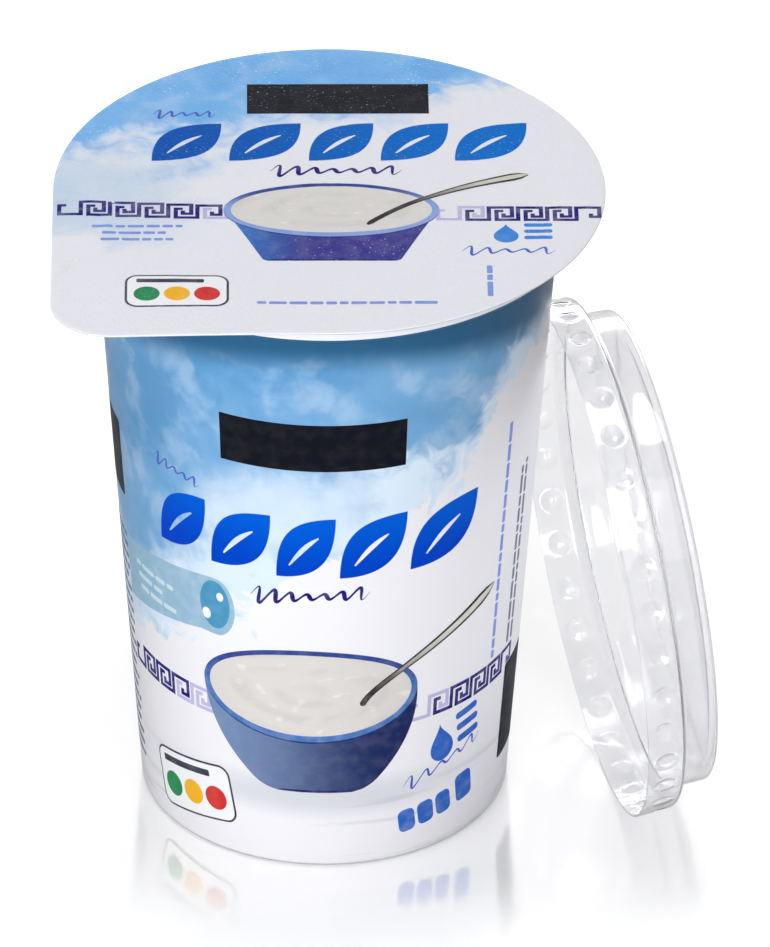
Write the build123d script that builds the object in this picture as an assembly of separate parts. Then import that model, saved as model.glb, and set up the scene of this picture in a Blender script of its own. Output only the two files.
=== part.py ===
"""Family-size yogurt pot: a tapered tub, its foil lid with a corner tab, and the clear overcap.

The tub stands on z = 0 with its axis on Z. The front of its print faces -Y. The overcap is off the
pot: it stands on its rim on the +X side and leans on the tub's wall, with its closed side outwards.
Lengths are in millimetres and angles in degrees.
"""
from build123d import *
import math
import os

# Tub: a shut pot, so its walls and its filling are one solid
total_height = 122.7
wall_foot_radius = 33.3
wall_top_radius = 41.6
foot_round = 0.8
flange_width = 4.8
rim_depth = 3.4
rim_plate = 1.5
rim_roll_width = 2.0
rim_round = 0.6
neck_round = 1.5

# Foil lid: a disc with one square corner, which is the pull tab at the front left
foil_thickness = 0.35
foil_overhang = 2.6
foil_shift = 0.5
tab_corner_round = 11.0
tab_turn = 0.5

# Overcap: a thin clear dish, a dented skirt with a narrower crown above it
cap_wall = 0.45
cap_play = 0.1
cap_flare = 0.55
cap_skirt_height = 6.9
cap_shoulder_rise = 1.1
cap_shoulder_width = 3.4
cap_crown_taper = 0.25
cap_depth = 14.0
cap_skirt_round = 1.2
cap_crown_round = 0.9
cap_inner_round = 0.3
panel_border = 2.6
panel_drop = 0.9
panel_slope = 0.6

# Dents round the cap's skirt, which snap under the tub's rim
dent_count = 36
dent_width = 4.2
dent_depth = 0.8
dent_height = 3.4

# Where the overcap stands
cap_stand_off = 11.5
cap_foot_turn = -3.5
cap_facing_turn = 12.5
cap_lean_gap = 0.25
lean_limit = 40.0
lean_tries = 40
rim_samples = 360

# Sizes that follow from the ones above
rim_radius = wall_top_radius + flange_width
foil_radius = rim_radius + foil_overhang
tub_height = total_height - foil_thickness
rim_bottom = tub_height - rim_depth
flange_bottom = tub_height - rim_plate
cap_skirt_radius = rim_radius + cap_play + cap_wall
cap_rim_radius = cap_skirt_radius + cap_flare
cap_crown_foot_radius = cap_skirt_radius - cap_shoulder_width
cap_crown_radius = cap_crown_foot_radius - cap_crown_taper
panel_radius = cap_crown_radius - panel_border - panel_slope


def wall_radius(height):
    """Outer radius of the tub's wall at a height."""
    return wall_foot_radius + (wall_top_radius - wall_foot_radius) * height / flange_bottom


def turned(corners, rounds):
    """Solid of revolution about Z, from a section's corners and the rounding of each inner one."""
    edge = FilletPolyline(*corners, radius=rounds)
    axis_side = Line(corners[-1], corners[0])
    return revolve(Plane.XZ * make_face(edge + axis_side), axis=Axis.Z)


def tub():
    """Tub with its flange and the edge rolled down round it, closed at the top."""
    roll_inner = rim_radius - rim_roll_width
    corners = [
        (0, 0),
        (wall_foot_radius, 0),
        (wall_top_radius, flange_bottom),
        (roll_inner, flange_bottom),
        (roll_inner, rim_bottom),
        (rim_radius, rim_bottom),
        (rim_radius, tub_height),
        (0, tub_height),
    ]
    return turned(corners, [foot_round, neck_round, rim_round, rim_round, rim_round, rim_round])


def foil_lid():
    """Foil sealed on the flange: a disc joined to a square that ends in the rounded tab corner."""
    half = foil_radius / 2
    disc = Circle(foil_radius)
    square = Pos(-half, -half) * Rectangle(foil_radius, foil_radius)
    corner = square.vertices().sort_by(lambda vertex: vertex.X + vertex.Y)[0]
    tab = fillet(corner, tab_corner_round)
    plate = extrude(disc + tab, foil_thickness)
    return Pos(foil_shift, 0, tub_height) * Rot(0, 0, tab_turn) * plate


def cap_section(inset):
    """Corners of the cap's section from its rim to its axis, moved into the plastic by an inset."""
    crown_foot = cap_skirt_height + cap_shoulder_rise
    return [
        (cap_rim_radius - inset, 0),
        (cap_skirt_radius - inset, cap_skirt_height - inset),
        (cap_crown_foot_radius - inset, crown_foot - inset),
        (cap_crown_radius - inset, cap_depth - inset),
        (panel_radius + panel_slope + inset, cap_depth - inset),
        (panel_radius + inset, cap_depth - panel_drop - inset),
        (0, cap_depth - panel_drop - inset),
    ]


def cap_body(inset):
    """Filled cap, as its outside with no inset or as its hollow with the wall for an inset."""
    rim_edge = 0
    rounds = [
        rim_edge,
        cap_skirt_round - inset,
        cap_inner_round + inset,
        cap_crown_round - inset,
        cap_inner_round,
        cap_inner_round,
    ]
    return turned([(0, 0)] + cap_section(inset), rounds)


def dents(inset):
    """Balls that press the dents into the skirt, larger by the inset for the hollow's side."""
    ball_radius = ((dent_width / 2) ** 2 + dent_depth ** 2) / (2 * dent_depth)
    skirt_radius = cap_rim_radius - cap_flare * dent_height / cap_skirt_height
    place = Pos(skirt_radius - dent_depth + ball_radius, 0, dent_height)
    ball = place * Sphere(ball_radius + inset)
    return [Rot(0, 0, 360 * index / dent_count) * ball for index in range(dent_count)]


def overcap():
    """Clear cap with its rim on z = 0 and its closed side up, open below."""
    outside = cap_body(0) - dents(0)
    hollow = cap_body(cap_wall) - dents(cap_wall)
    return outside - hollow


def tub_reach(height):
    """Furthest that the pot reaches from its axis at a height, towards the overcap."""
    if height > total_height:
        return 0.0
    if height > tub_height:
        return foil_radius + foil_shift
    if height > rim_bottom:
        return rim_radius
    return wall_radius(height)


def cap_place(lean):
    """Plane of the cap's rim, with its foot on the floor and its top tipped towards the tub."""
    foot_out = tub_reach(min(2 * cap_rim_radius, total_height)) + cap_stand_off
    foot = Vector(foot_out, 0, 0).rotate(Axis.Z, cap_foot_turn)
    outward = Vector(1, 0, 0).rotate(Axis.Z, cap_facing_turn)
    tilt = math.radians(lean)
    closed_way = outward * math.cos(tilt) + Vector(0, 0, math.sin(tilt))
    upward = Vector(0, 0, math.cos(tilt)) - outward * math.sin(tilt)
    return Plane(origin=foot + upward * cap_rim_radius, x_dir=upward, z_dir=closed_way)


def rim_gap(lean):
    """Least gap between the cap's rim and the pot for a lean."""
    place = cap_place(lean)
    gaps = []
    for index in range(rim_samples):
        turn = 2 * math.pi * index / rim_samples
        local = (cap_rim_radius * math.cos(turn), cap_rim_radius * math.sin(turn), 0)
        point = place.from_local_coords(local)
        gaps.append(math.hypot(point.X, point.Y) - tub_reach(point.Z))
    return min(gaps)


def cap_lean():
    """Lean that brings the cap's rim to its resting gap from the pot, found by halving."""
    upright = 0.0
    fallen = lean_limit
    for _ in range(lean_tries):
        middle = (upright + fallen) / 2
        if rim_gap(middle) > cap_lean_gap:
            upright = middle
        else:
            fallen = middle
    return upright


def main():
    """Builds the nodes and writes one STEP file for each."""
    nodes = {
        "pot": tub(),
        "foil_lid": foil_lid(),
        "overcap": cap_place(cap_lean()) * overcap(),
    }
    os.makedirs("parts", exist_ok=True)
    for name, solid in nodes.items():
        export_step(solid, f"parts/{name}.step")


main()
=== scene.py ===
"""Family-size yogurt pot: printed tub, embossed foil lid with a pull tab, and a clear overcap.

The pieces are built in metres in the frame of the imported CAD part, around its three nodes. Layouts of
print are written in millimetres on the flat sheet and laid on the tub's wall or on the foil.
"""

import logging
import math
from abc import ABC, abstractmethod
from collections.abc import Callable
from dataclasses import dataclass, field
from enum import Enum
from typing import ClassVar

import bmesh
import bpy
import numpy as np
from bpy.types import Material, Node, NodeSocket, NodeTree, Object
from mathutils import Matrix, Vector
from mathutils.geometry import tessellate_polygon


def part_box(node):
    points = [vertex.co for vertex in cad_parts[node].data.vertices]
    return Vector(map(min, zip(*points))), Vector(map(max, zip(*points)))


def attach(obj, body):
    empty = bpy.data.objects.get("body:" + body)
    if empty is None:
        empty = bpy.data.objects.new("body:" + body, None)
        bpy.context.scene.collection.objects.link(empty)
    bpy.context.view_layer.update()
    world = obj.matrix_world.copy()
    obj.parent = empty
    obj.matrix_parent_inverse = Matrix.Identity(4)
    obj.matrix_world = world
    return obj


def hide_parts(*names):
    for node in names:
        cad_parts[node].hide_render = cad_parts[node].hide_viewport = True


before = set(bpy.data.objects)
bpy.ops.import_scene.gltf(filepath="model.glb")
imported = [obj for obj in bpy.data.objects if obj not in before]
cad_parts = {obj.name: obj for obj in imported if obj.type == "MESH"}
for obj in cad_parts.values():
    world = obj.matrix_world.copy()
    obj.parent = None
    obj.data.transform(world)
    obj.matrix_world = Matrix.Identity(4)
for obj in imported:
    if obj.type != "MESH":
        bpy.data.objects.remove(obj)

log = logging.getLogger("yogurt_pot")

MM = 0.001
INK_LIFT = 0.04 * MM
INK_ROOT = 0.06 * MM

Triple = tuple[float, float, float]
Colour = Triple
Point = tuple[float, float]
Outline = list[Point]
Value = NodeSocket | float | tuple


def srgb(red: int, green: int, blue: int) -> Colour:
    """Linear colour of a swatch given in steps of 255."""
    parts = [step / 255 for step in (red, green, blue)]
    return tuple(p / 12.92 if p <= 0.04045 else ((p + 0.055) / 1.055) ** 2.4 for p in parts)


class Swatch(Enum):
    """Named colours of the pack."""

    WHITE = srgb(236, 236, 241)
    FOIL_WHITE = srgb(227, 228, 235)
    PLASTIC = srgb(238, 239, 245)
    SKY_DEEP = srgb(88, 147, 196)
    SKY = srgb(115, 167, 212)
    SKY_PALE = srgb(214, 231, 248)
    SKY_GLOW = srgb(207, 225, 243)
    # Painted shade under the rim: stands for the rim's shadow, over the print's deeper blue at the top of
    # the wall.
    PAINTED_UNDER_RIM_SHADE = srgb(36, 88, 126)
    LID_SKY_DEEP = srgb(44, 138, 214)
    LID_SKY = srgb(104, 172, 230)
    LID_SKY_PALE = srgb(194, 212, 236)
    LABEL = srgb(18, 20, 30)
    BOLD_BLUE = srgb(0, 66, 192)
    BOLD_BLUE_END = srgb(0, 90, 208)
    LID_BOLD_BLUE = srgb(0, 84, 176)
    LID_BOLD_BLUE_END = srgb(0, 108, 200)
    INDIGO = srgb(34, 24, 116)
    INDIGO_FADED = srgb(188, 184, 222)
    SCRIPT_BLUE = srgb(70, 96, 190)
    FINE_BLUE = srgb(128, 150, 222)
    FIGURE_BLUE = srgb(46, 100, 192)
    FIGURE_LIGHT = srgb(56, 132, 216)
    BADGE = srgb(146, 183, 208)
    BADGE_DEEP = srgb(72, 146, 186)
    BADGE_BAR = srgb(196, 222, 234)
    BOWL_LIGHT = srgb(116, 139, 178)
    BOWL_DARK = srgb(28, 41, 92)
    BOWL_RIM = srgb(70, 114, 180)
    BOWL_RIM_DARK = srgb(44, 66, 140)
    BOWL_FOOT = srgb(30, 34, 108)
    LID_BOWL_LIGHT = srgb(58, 118, 196)
    LID_BOWL_DARK = srgb(58, 56, 138)
    LID_RIM = srgb(132, 160, 220)
    YOGURT = srgb(214, 211, 208)
    YOGURT_SHADE = srgb(200, 198, 196)
    STEEL = srgb(206, 206, 196)
    STEEL_DARK = srgb(52, 46, 48)
    PANEL_LINE = srgb(60, 64, 78)
    PANEL_FIELD = srgb(240, 241, 245)
    DOT_GREEN = srgb(34, 136, 84)
    DOT_AMBER = srgb(240, 178, 40)
    DOT_RED = srgb(206, 52, 48)
    GREY_TEXT = srgb(118, 122, 142)
    DARK_PANEL = srgb(24, 26, 38)
    PLANK_MARK = srgb(196, 198, 206)
    BOWL_SHADOW = srgb(190, 194, 204)
    PLASTIC_SHADE = srgb(226, 229, 238)
    FOIL_TINT = srgb(190, 208, 228)
    FOIL_BARE = srgb(214, 217, 224)
    YOGURT_LIGHT = srgb(243, 241, 239)
    CLEAR_PLASTIC = srgb(242, 242, 244)


class Axis(Enum):
    """Directions along which an ink can shade."""

    RIGHT = (1.0, 0.0, 0.0)
    BACK = (0.0, 1.0, 0.0)
    UP = (0.0, 0.0, 1.0)


class Wiring:
    """Adds and links the nodes of one shader tree."""

    def __init__(self, tree: NodeTree) -> None:
        """Keeps the tree that is wired."""
        self.tree = tree

    def node(self, kind: str, **settings: object) -> Node:
        """Adds a node.

        Args:
            kind: Blender's name of the node type.
            settings: Attributes to set on the node.

        Returns:
            The new node.
        """
        made = self.tree.nodes.new(kind)
        for name, value in settings.items():
            setattr(made, name, value)
        return made

    def feed(self, socket: NodeSocket, value: Value) -> None:
        """Links a socket to a value's socket, or sets it to a plain value."""
        if isinstance(value, NodeSocket):
            self.tree.links.new(value, socket)
        elif isinstance(value, tuple) and len(value) == 3 and socket.type == "RGBA":
            socket.default_value = (*value, 1.0)
        else:
            socket.default_value = value

    def math(self, operation: str, *values: Value, clamp: bool = False) -> NodeSocket:
        """Result of a Math node on one to three values."""
        made = self.node("ShaderNodeMath", operation=operation, use_clamp=clamp)
        for socket, value in zip(made.inputs, values):
            self.feed(socket, value)
        return made.outputs[0]

    def vector(self, operation: str, *values: Value) -> NodeSocket:
        """Result of a Vector Math node, a vector or, for a dot product or a length, a number."""
        made = self.node("ShaderNodeVectorMath", operation=operation)
        for socket, value in zip(made.inputs, values):
            self.feed(socket, value)
        number = operation in ("DOT_PRODUCT", "LENGTH", "DISTANCE")
        return made.outputs["Value" if number else "Vector"]

    def smooth(self, value: Value, low: Value, high: Value) -> NodeSocket:
        """Smooth step from 0 at the low value to 1 at the high one."""
        made = self.node("ShaderNodeMapRange", interpolation_type="SMOOTHSTEP")
        self.feed(made.inputs["Value"], value)
        self.feed(made.inputs["From Min"], low)
        self.feed(made.inputs["From Max"], high)
        return made.outputs["Result"]

    def scaled(self, value: Value, low: float, high: float) -> NodeSocket:
        """Value from 0 to 1 spread linearly from a low number to a high one."""
        made = self.node("ShaderNodeMapRange", interpolation_type="LINEAR")
        self.feed(made.inputs["Value"], value)
        made.inputs["To Min"].default_value = low
        made.inputs["To Max"].default_value = high
        return made.outputs["Result"]

    def mix(self, factor: Value, first: Value, second: Value) -> NodeSocket:
        """Colour between two colours."""
        made = self.node("ShaderNodeMix", data_type="RGBA")
        self.feed(made.inputs[0], factor)
        self.feed(made.inputs[6], first)
        self.feed(made.inputs[7], second)
        return made.outputs[2]

    def noise(self, vector: Value, scale: Value, detail: float = 3.0, bend: float = 0.0) -> NodeSocket:
        """Fractal noise.

        Args:
            vector: Position that it reads.
            scale: Number of features in a metre.
            detail: Number of finer layers.
            bend: How far the noise distorts itself.

        Returns:
            The noise, about 0.5 in the middle.
        """
        made = self.node("ShaderNodeTexNoise")
        self.feed(made.inputs["Vector"], vector)
        self.feed(made.inputs["Scale"], scale)
        made.inputs["Detail"].default_value = detail
        made.inputs["Distortion"].default_value = bend
        return made.outputs["Fac"]

    def position(self) -> NodeSocket:
        """Object coordinates, which are the part's own frame in metres."""
        return self.node("ShaderNodeTexCoord").outputs["Object"]

    def group(self, tree: NodeTree, **values: Value) -> Node:
        """Places a node group with its own values.

        Args:
            tree: The group's tree.
            values: Value for each input, with underscores for the spaces in its name.

        Returns:
            The group node.
        """
        made = self.node("ShaderNodeGroup", node_tree=tree)
        for name, value in values.items():
            self.feed(made.inputs[name.replace("_", " ")], value)
        return made


@dataclass
class Effect(ABC):
    """A node group that several materials share, built once from its named inputs and outputs."""

    title: ClassVar[str]
    inputs: ClassVar[list[tuple[str, str, object]]]
    outputs: ClassVar[list[tuple[str, str]]]
    tree: NodeTree = field(init=False)
    wires: Wiring = field(init=False)
    inlet: Node = field(init=False)
    outlet: Node = field(init=False)

    def __post_init__(self) -> None:
        """Makes the group and wires it."""
        self.tree = bpy.data.node_groups.new(self.title, "ShaderNodeTree")
        for name, kind, value in self.inputs:
            socket = self.tree.interface.new_socket(name=name, in_out="INPUT", socket_type=kind)
            if value is not None:
                socket.default_value = value
        for name, kind in self.outputs:
            self.tree.interface.new_socket(name=name, in_out="OUTPUT", socket_type=kind)
        self.wires = Wiring(self.tree)
        self.inlet = self.wires.node("NodeGroupInput")
        self.outlet = self.wires.node("NodeGroupOutput")
        self.wire()

    def give(self, name: str, value: Value) -> None:
        """Feeds one of the group's outputs."""
        self.wires.feed(self.outlet.inputs[name], value)

    def take(self, name: str) -> NodeSocket:
        """Socket that carries one of the group's inputs."""
        return self.inlet.outputs[name]

    @abstractmethod
    def wire(self) -> None:
        """Wires the inputs to the outputs."""


VECTOR = "NodeSocketVector"
FLOAT = "NodeSocketFloat"
COLOUR = "NodeSocketColor"


class SkyWash(Effect):
    """Painted sky that breaks up into white, with blotted edges and cloud inside the blue."""

    title = "sky wash"
    inputs = [
        ("Position", VECTOR, None),
        ("Height", FLOAT, 0.0),
        ("Depth", FLOAT, 0.03),
        ("Reach", FLOAT, 0.06),
        ("Edge", FLOAT, 0.008),
        ("Scale", FLOAT, 40.0),
        ("Deep", COLOUR, None),
        ("Sky", COLOUR, None),
        ("Pale", COLOUR, None),
        ("Ground", COLOUR, None),
    ]
    outputs = [("Color", COLOUR), ("Cover", FLOAT)]

    blot_reach = 0.020
    fray_reach = 0.010
    fine_scale = 4.2
    cloud_scale = 1.3
    dab_scale = 2.6
    dab_bend = 0.35
    fray_bend = 1.2
    body_span = (0.15, 0.75)
    deep_span = (0.35, 1.15)
    deep_start = 0.02
    pale_dabs = (0.50, 0.68)
    deep_dabs = (0.50, 0.34)
    pale_share = 0.28
    deep_share = 0.30

    def wire(self) -> None:
        """Height over the broken edge sets the cover, and cloud noise picks the blue inside it."""
        w = self.wires
        position = self.take("Position")
        scale = self.take("Scale")
        blot = w.math("SUBTRACT", w.noise(position, scale, 2.0), 0.5)
        fine = w.noise(position, w.math("MULTIPLY", scale, self.fine_scale), 5.0, self.fray_bend)
        fray = w.math("SUBTRACT", fine, 0.5)
        moved = w.math("MULTIPLY_ADD", blot, self.blot_reach * 2, self.take("Height"))
        frayed = w.math("MULTIPLY_ADD", fray, self.fray_reach * 2, moved)
        cover = w.smooth(frayed, 0.0, self.take("Edge"))
        cloud = w.noise(position, w.math("MULTIPLY", scale, self.cloud_scale), 5.0, 0.8)
        dabs = w.noise(position, w.math("MULTIPLY", scale, self.dab_scale), 6.0, self.dab_bend)
        rise = w.smooth(frayed, 0.0, self.take("Depth"))
        body = w.smooth(w.math("ADD", rise, w.math("SUBTRACT", cloud, 0.5)), *self.body_span)
        tall = w.math("MULTIPLY_ADD", fray, self.fray_reach * 3, moved)
        high = w.smooth(tall, self.deep_start, self.take("Reach"))
        deep = w.smooth(w.math("ADD", high, w.math("SUBTRACT", 0.5, cloud)), *self.deep_span)
        blue = w.mix(body, self.take("Pale"), self.take("Sky"))
        blue = w.mix(deep, blue, self.take("Deep"))
        lighter = w.math("MULTIPLY", w.smooth(dabs, *self.pale_dabs), self.pale_share)
        darker = w.math("MULTIPLY", w.smooth(dabs, *self.deep_dabs), self.deep_share)
        blue = w.mix(lighter, blue, self.take("Pale"))
        blue = w.mix(darker, blue, self.take("Deep"))
        self.give("Color", w.mix(cover, self.take("Ground"), blue))
        self.give("Cover", cover)


class FoilGrain(Effect):
    """Fine embossing of the lacquered foil, with painted glints: bright specks of light mixed into its
    colour.
    """

    title = "foil grain"
    inputs = [
        ("Position", VECTOR, None),
        ("Color", COLOUR, None),
        ("Glint", COLOUR, (0.86, 0.88, 0.94, 1.0)),
        ("Amount", FLOAT, 0.5),
    ]
    outputs = [("Color", COLOUR), ("Height", FLOAT), ("Roughness", FLOAT)]

    cell_scale = 1500.0
    ripple_scale = 260.0
    glint_scale = 1900.0
    patch_scale = 120.0
    ripple_share = 1.5
    sharp_span = (0.66, 0.74)
    patch_span = (0.38, 0.62)
    roughness_span = (0.30, 0.46)

    def wire(self) -> None:
        """Cells and ripple give the height, and sharp noise in patches gives the painted glints."""
        w = self.wires
        position = self.take("Position")
        cells = w.node("ShaderNodeTexVoronoi", feature="F1")
        w.feed(cells.inputs["Vector"], position)
        cells.inputs["Scale"].default_value = self.cell_scale
        ripple = w.noise(position, self.ripple_scale, 3.0)
        self.give("Height", w.math("MULTIPLY_ADD", ripple, self.ripple_share, cells.outputs["Distance"]))
        sharp = w.smooth(w.noise(position, self.glint_scale, 1.0), *self.sharp_span)
        patch = w.smooth(w.noise(position, self.patch_scale, 2.0), *self.patch_span)
        # Painted glints: bright specks, standing for light caught by the embossing, mixed into the colour.
        speck = w.math("MULTIPLY", w.math("MULTIPLY", sharp, patch), self.take("Amount"), clamp=True)
        self.give("Color", w.mix(speck, self.take("Color"), self.take("Glint")))
        self.give("Roughness", w.scaled(ripple, *self.roughness_span))


class PrintedInk(Effect):
    """Ink that shades from one colour to another, slightly mottled as on moulded plastic."""

    title = "printed ink"
    inputs = [
        ("Position", VECTOR, None),
        ("First", COLOUR, None),
        ("Second", COLOUR, None),
        ("Along", VECTOR, None),
        ("Start", FLOAT, 0.0),
        ("End", FLOAT, 1.0),
        ("Mottle", FLOAT, 0.06),
    ]
    outputs = [("Color", COLOUR), ("Roughness", FLOAT)]

    mottle_scale = 420.0
    mottle_span = (0.35, 0.75)
    lean_scale = 60.0
    lean_reach = 0.006
    roughness_span = (0.38, 0.55)

    def wire(self) -> None:
        """Distance along the direction mixes the colours, and noise dims them a little."""
        w = self.wires
        position = self.take("Position")
        way = w.vector("DOT_PRODUCT", position, self.take("Along"))
        soft = w.math("SUBTRACT", w.noise(position, self.lean_scale), 0.5)
        soft = w.math("MULTIPLY", soft, self.lean_reach)
        share = w.smooth(w.math("ADD", way, soft), self.take("Start"), self.take("End"))
        shade = w.mix(share, self.take("First"), self.take("Second"))
        speckle = w.noise(position, self.mottle_scale, 4.0)
        dim = w.math("MULTIPLY", w.smooth(speckle, *self.mottle_span), self.take("Mottle"))
        self.give("Color", w.mix(dim, shade, (1.0, 1.0, 1.0)))
        self.give("Roughness", w.scaled(speckle, *self.roughness_span))


class MouldedSkin(Effect):
    """Faint unevenness of a moulded or thermoformed plastic skin."""

    title = "moulded skin"
    inputs = [("Position", VECTOR, None), ("Low", FLOAT, 0.25), ("High", FLOAT, 0.4)]
    outputs = [("Height", FLOAT), ("Roughness", FLOAT)]

    wave_scale = 55.0
    fine_scale = 900.0

    def wire(self) -> None:
        """Slow waves and fine grain give the height, and the waves vary the roughness."""
        w = self.wires
        position = self.take("Position")
        waves = w.noise(position, self.wave_scale, 2.0)
        grain = w.noise(position, self.fine_scale, 2.0)
        self.give("Height", w.math("MULTIPLY_ADD", grain, 0.06, waves))
        span = w.math("SUBTRACT", self.take("High"), self.take("Low"))
        self.give("Roughness", w.math("MULTIPLY_ADD", waves, span, self.take("Low")))


@dataclass
class Effects:
    """The shared node groups."""

    sky: SkyWash = field(default_factory=SkyWash)
    grain: FoilGrain = field(default_factory=FoilGrain)
    ink: PrintedInk = field(default_factory=PrintedInk)
    skin: MouldedSkin = field(default_factory=MouldedSkin)


class Base:
    """Start of a material: its tree, its Principled shader and its wiring."""

    def __init__(self, name: str) -> None:
        """Makes an empty node material with a Principled shader and an output."""
        self.material = bpy.data.materials.new(name)
        self.material.use_nodes = True
        self.material.node_tree.nodes.clear()
        self.wires = Wiring(self.material.node_tree)
        self.shader = self.wires.node("ShaderNodeBsdfPrincipled")
        self.output = self.wires.node("ShaderNodeOutputMaterial")
        self.wires.feed(self.output.inputs["Surface"], self.shader.outputs["BSDF"])

    def set(self, **values: Value) -> None:
        """Feeds or sets the shader's sockets, with underscores for the spaces in their names."""
        for name, value in values.items():
            self.wires.feed(self.shader.inputs[name.replace("_", " ")], value)

    def bump(self, height: Value, distance: float, strength: float) -> None:
        """Feeds a Bump node into the shader's normal."""
        made = self.wires.node("ShaderNodeBump")
        made.inputs["Strength"].default_value = strength
        made.inputs["Distance"].default_value = distance
        self.wires.feed(made.inputs["Height"], height)
        self.wires.feed(self.shader.inputs["Normal"], made.outputs["Normal"])


@dataclass(frozen=True)
class WallPrintFinish:
    """Printed skin of the tub: sky down to a slanting edge, white below, soft floor shading, and painted
    shade under the rim.
    """

    name: str = "tub_wall_print"
    edge_height: float = 67 * MM
    edge_swing: float = 32 * MM
    edge_turn: float = math.radians(5)
    edge_width: float = 3 * MM
    cloud_scale: float = 42.0
    mean_radius: float = 38 * MM
    bowl_shadow_at: Triple = (-0.002, -0.034, 0.0155)
    bowl_shadow_size: Triple = (0.024, 0.05, 0.0042)
    bowl_shadow_share: float = 0.6
    plank_scale: float = 26.0
    plank_stretch: float = 14.0
    plank_top: float = 19 * MM
    plank_fade: float = 8 * MM
    plank_share: float = 0.75
    # Band of painted shade under the rim, reaching lower towards the sides as the rim's shadow does.
    painted_shade_low: float = 108 * MM
    painted_shade_high: float = 115 * MM
    painted_shade_sag: float = 4.76
    depth_left: float = 44 * MM
    depth_right: float = 18 * MM
    deep_reach: float = 62 * MM
    glow_at: Triple = (-0.007, -0.038, 0.078)
    glow_size: Triple = (0.017, 0.05, 0.011)
    glow_share: float = 0.85
    glow_scale: float = 90.0
    shade_share: float = 0.95
    right_start: float = -8 * MM
    right_end: float = 24 * MM

    def build(self, effects: Effects) -> Material:
        """Builds the material.

        Args:
            effects: Shared node groups.

        Returns:
            The material.
        """
        base = Base(self.name)
        w = base.wires
        position = w.position()
        across = (math.cos(self.edge_turn), math.sin(self.edge_turn), 0.0)
        swing = w.vector("DOT_PRODUCT", position, across)
        swing = w.math("MULTIPLY", swing, self.edge_swing / self.mean_radius)
        split = w.node("ShaderNodeSeparateXYZ")
        w.feed(split.inputs[0], position)
        height = w.math("SUBTRACT", split.outputs["Z"], w.math("ADD", swing, self.edge_height))
        ground = self.ground(w, position, split.outputs["Z"])
        right = w.smooth(split.outputs["X"], self.right_start, self.right_end)
        sky = w.group(
            effects.sky.tree,
            Position=position,
            Height=height,
            Depth=w.scaled(right, self.depth_left, self.depth_right),
            Reach=self.deep_reach,
            Edge=self.edge_width,
            Scale=self.cloud_scale,
            Deep=Swatch.SKY_DEEP.value,
            Sky=Swatch.SKY.value,
            Pale=Swatch.SKY_PALE.value,
            Ground=ground,
        )
        skin = w.group(effects.skin.tree, Position=position, Low=0.24, High=0.38)
        colour = self.glow(w, position, sky)
        # Painted shade under the rim: the rim's shadow, partly the print's deeper blue, mixed over the top
        # of the wall and lower at the sides.
        squared = w.math("MULTIPLY", split.outputs["X"], split.outputs["X"])
        sagged = w.math("MULTIPLY_ADD", squared, self.painted_shade_sag, split.outputs["Z"])
        shade = w.smooth(sagged, self.painted_shade_low, self.painted_shade_high)
        shade = w.math("MULTIPLY", shade, self.shade_share)
        colour = w.mix(shade, colour, Swatch.PAINTED_UNDER_RIM_SHADE.value)
        base.set(Base_Color=colour, Roughness=skin.outputs["Roughness"], Metallic=0.0)
        base.set(IOR=1.48, Specular_IOR_Level=0.10)
        base.bump(skin.outputs["Height"], 0.0004, 0.25)
        return base.material

    def glow(self, w: Wiring, position: NodeSocket, sky: Node) -> NodeSocket:
        """Pale light of the sky under the label, with a broken edge.

        Args:
            w: The material's wiring.
            position: Object coordinates.
            sky: The sky's group node.

        Returns:
            The sky's colour with the pale light in it.
        """
        away = w.vector("SUBTRACT", position, self.glow_at)
        away = w.vector("LENGTH", w.vector("DIVIDE", away, self.glow_size))
        broken = w.math("SUBTRACT", w.noise(position, self.glow_scale, 5.0, 0.6), 0.5)
        away = w.math("MULTIPLY_ADD", broken, 1.6, away)
        amount = w.math("MULTIPLY", w.smooth(away, 1.25, 0.35), sky.outputs["Cover"])
        amount = w.math("MULTIPLY", amount, self.glow_share)
        return w.mix(amount, sky.outputs["Color"], Swatch.SKY_GLOW.value)

    def ground(self, w: Wiring, position: NodeSocket, height: NodeSocket) -> NodeSocket:
        """White of the print, with the bowl's soft shadow and pale plank marks low down.

        Args:
            w: The material's wiring.
            position: Object coordinates.
            height: Height above the base.

        Returns:
            The ground colour.
        """
        away = w.vector("SUBTRACT", position, self.bowl_shadow_at)
        away = w.vector("DIVIDE", away, self.bowl_shadow_size)
        shadow = w.smooth(w.vector("LENGTH", away), 1.5, 0.2)
        streak = w.vector("MULTIPLY", position, (1.0, 1.0, self.plank_stretch))
        streaks = w.smooth(w.noise(streak, self.plank_scale, 5.0), 0.56, 0.70)
        low = w.smooth(height, self.plank_top, self.plank_top - self.plank_fade)
        marks = w.math("MULTIPLY", w.math("MULTIPLY", streaks, low), self.plank_share)
        white = w.mix(marks, Swatch.WHITE.value, Swatch.PLANK_MARK.value)
        return w.mix(w.math("MULTIPLY", shadow, self.bowl_shadow_share), white, Swatch.BOWL_SHADOW.value)


@dataclass(frozen=True)
class PlasticFinish:
    """Unprinted white plastic of the rim, the flange and the base."""

    name: str = "tub_white_plastic"
    tone_scale: float = 70.0

    def build(self, effects: Effects) -> Material:
        """Builds the material.

        Args:
            effects: Shared node groups.

        Returns:
            The material.
        """
        base = Base(self.name)
        w = base.wires
        position = w.position()
        skin = w.group(effects.skin.tree, Position=position, Low=0.26, High=0.42)
        waves = w.noise(position, self.tone_scale)
        tone = w.mix(waves, Swatch.PLASTIC.value, Swatch.PLASTIC_SHADE.value)
        base.set(Base_Color=tone, Roughness=skin.outputs["Roughness"], Metallic=0.0, IOR=1.49)
        base.bump(skin.outputs["Height"], 0.0004, 0.3)
        return base.material


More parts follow.
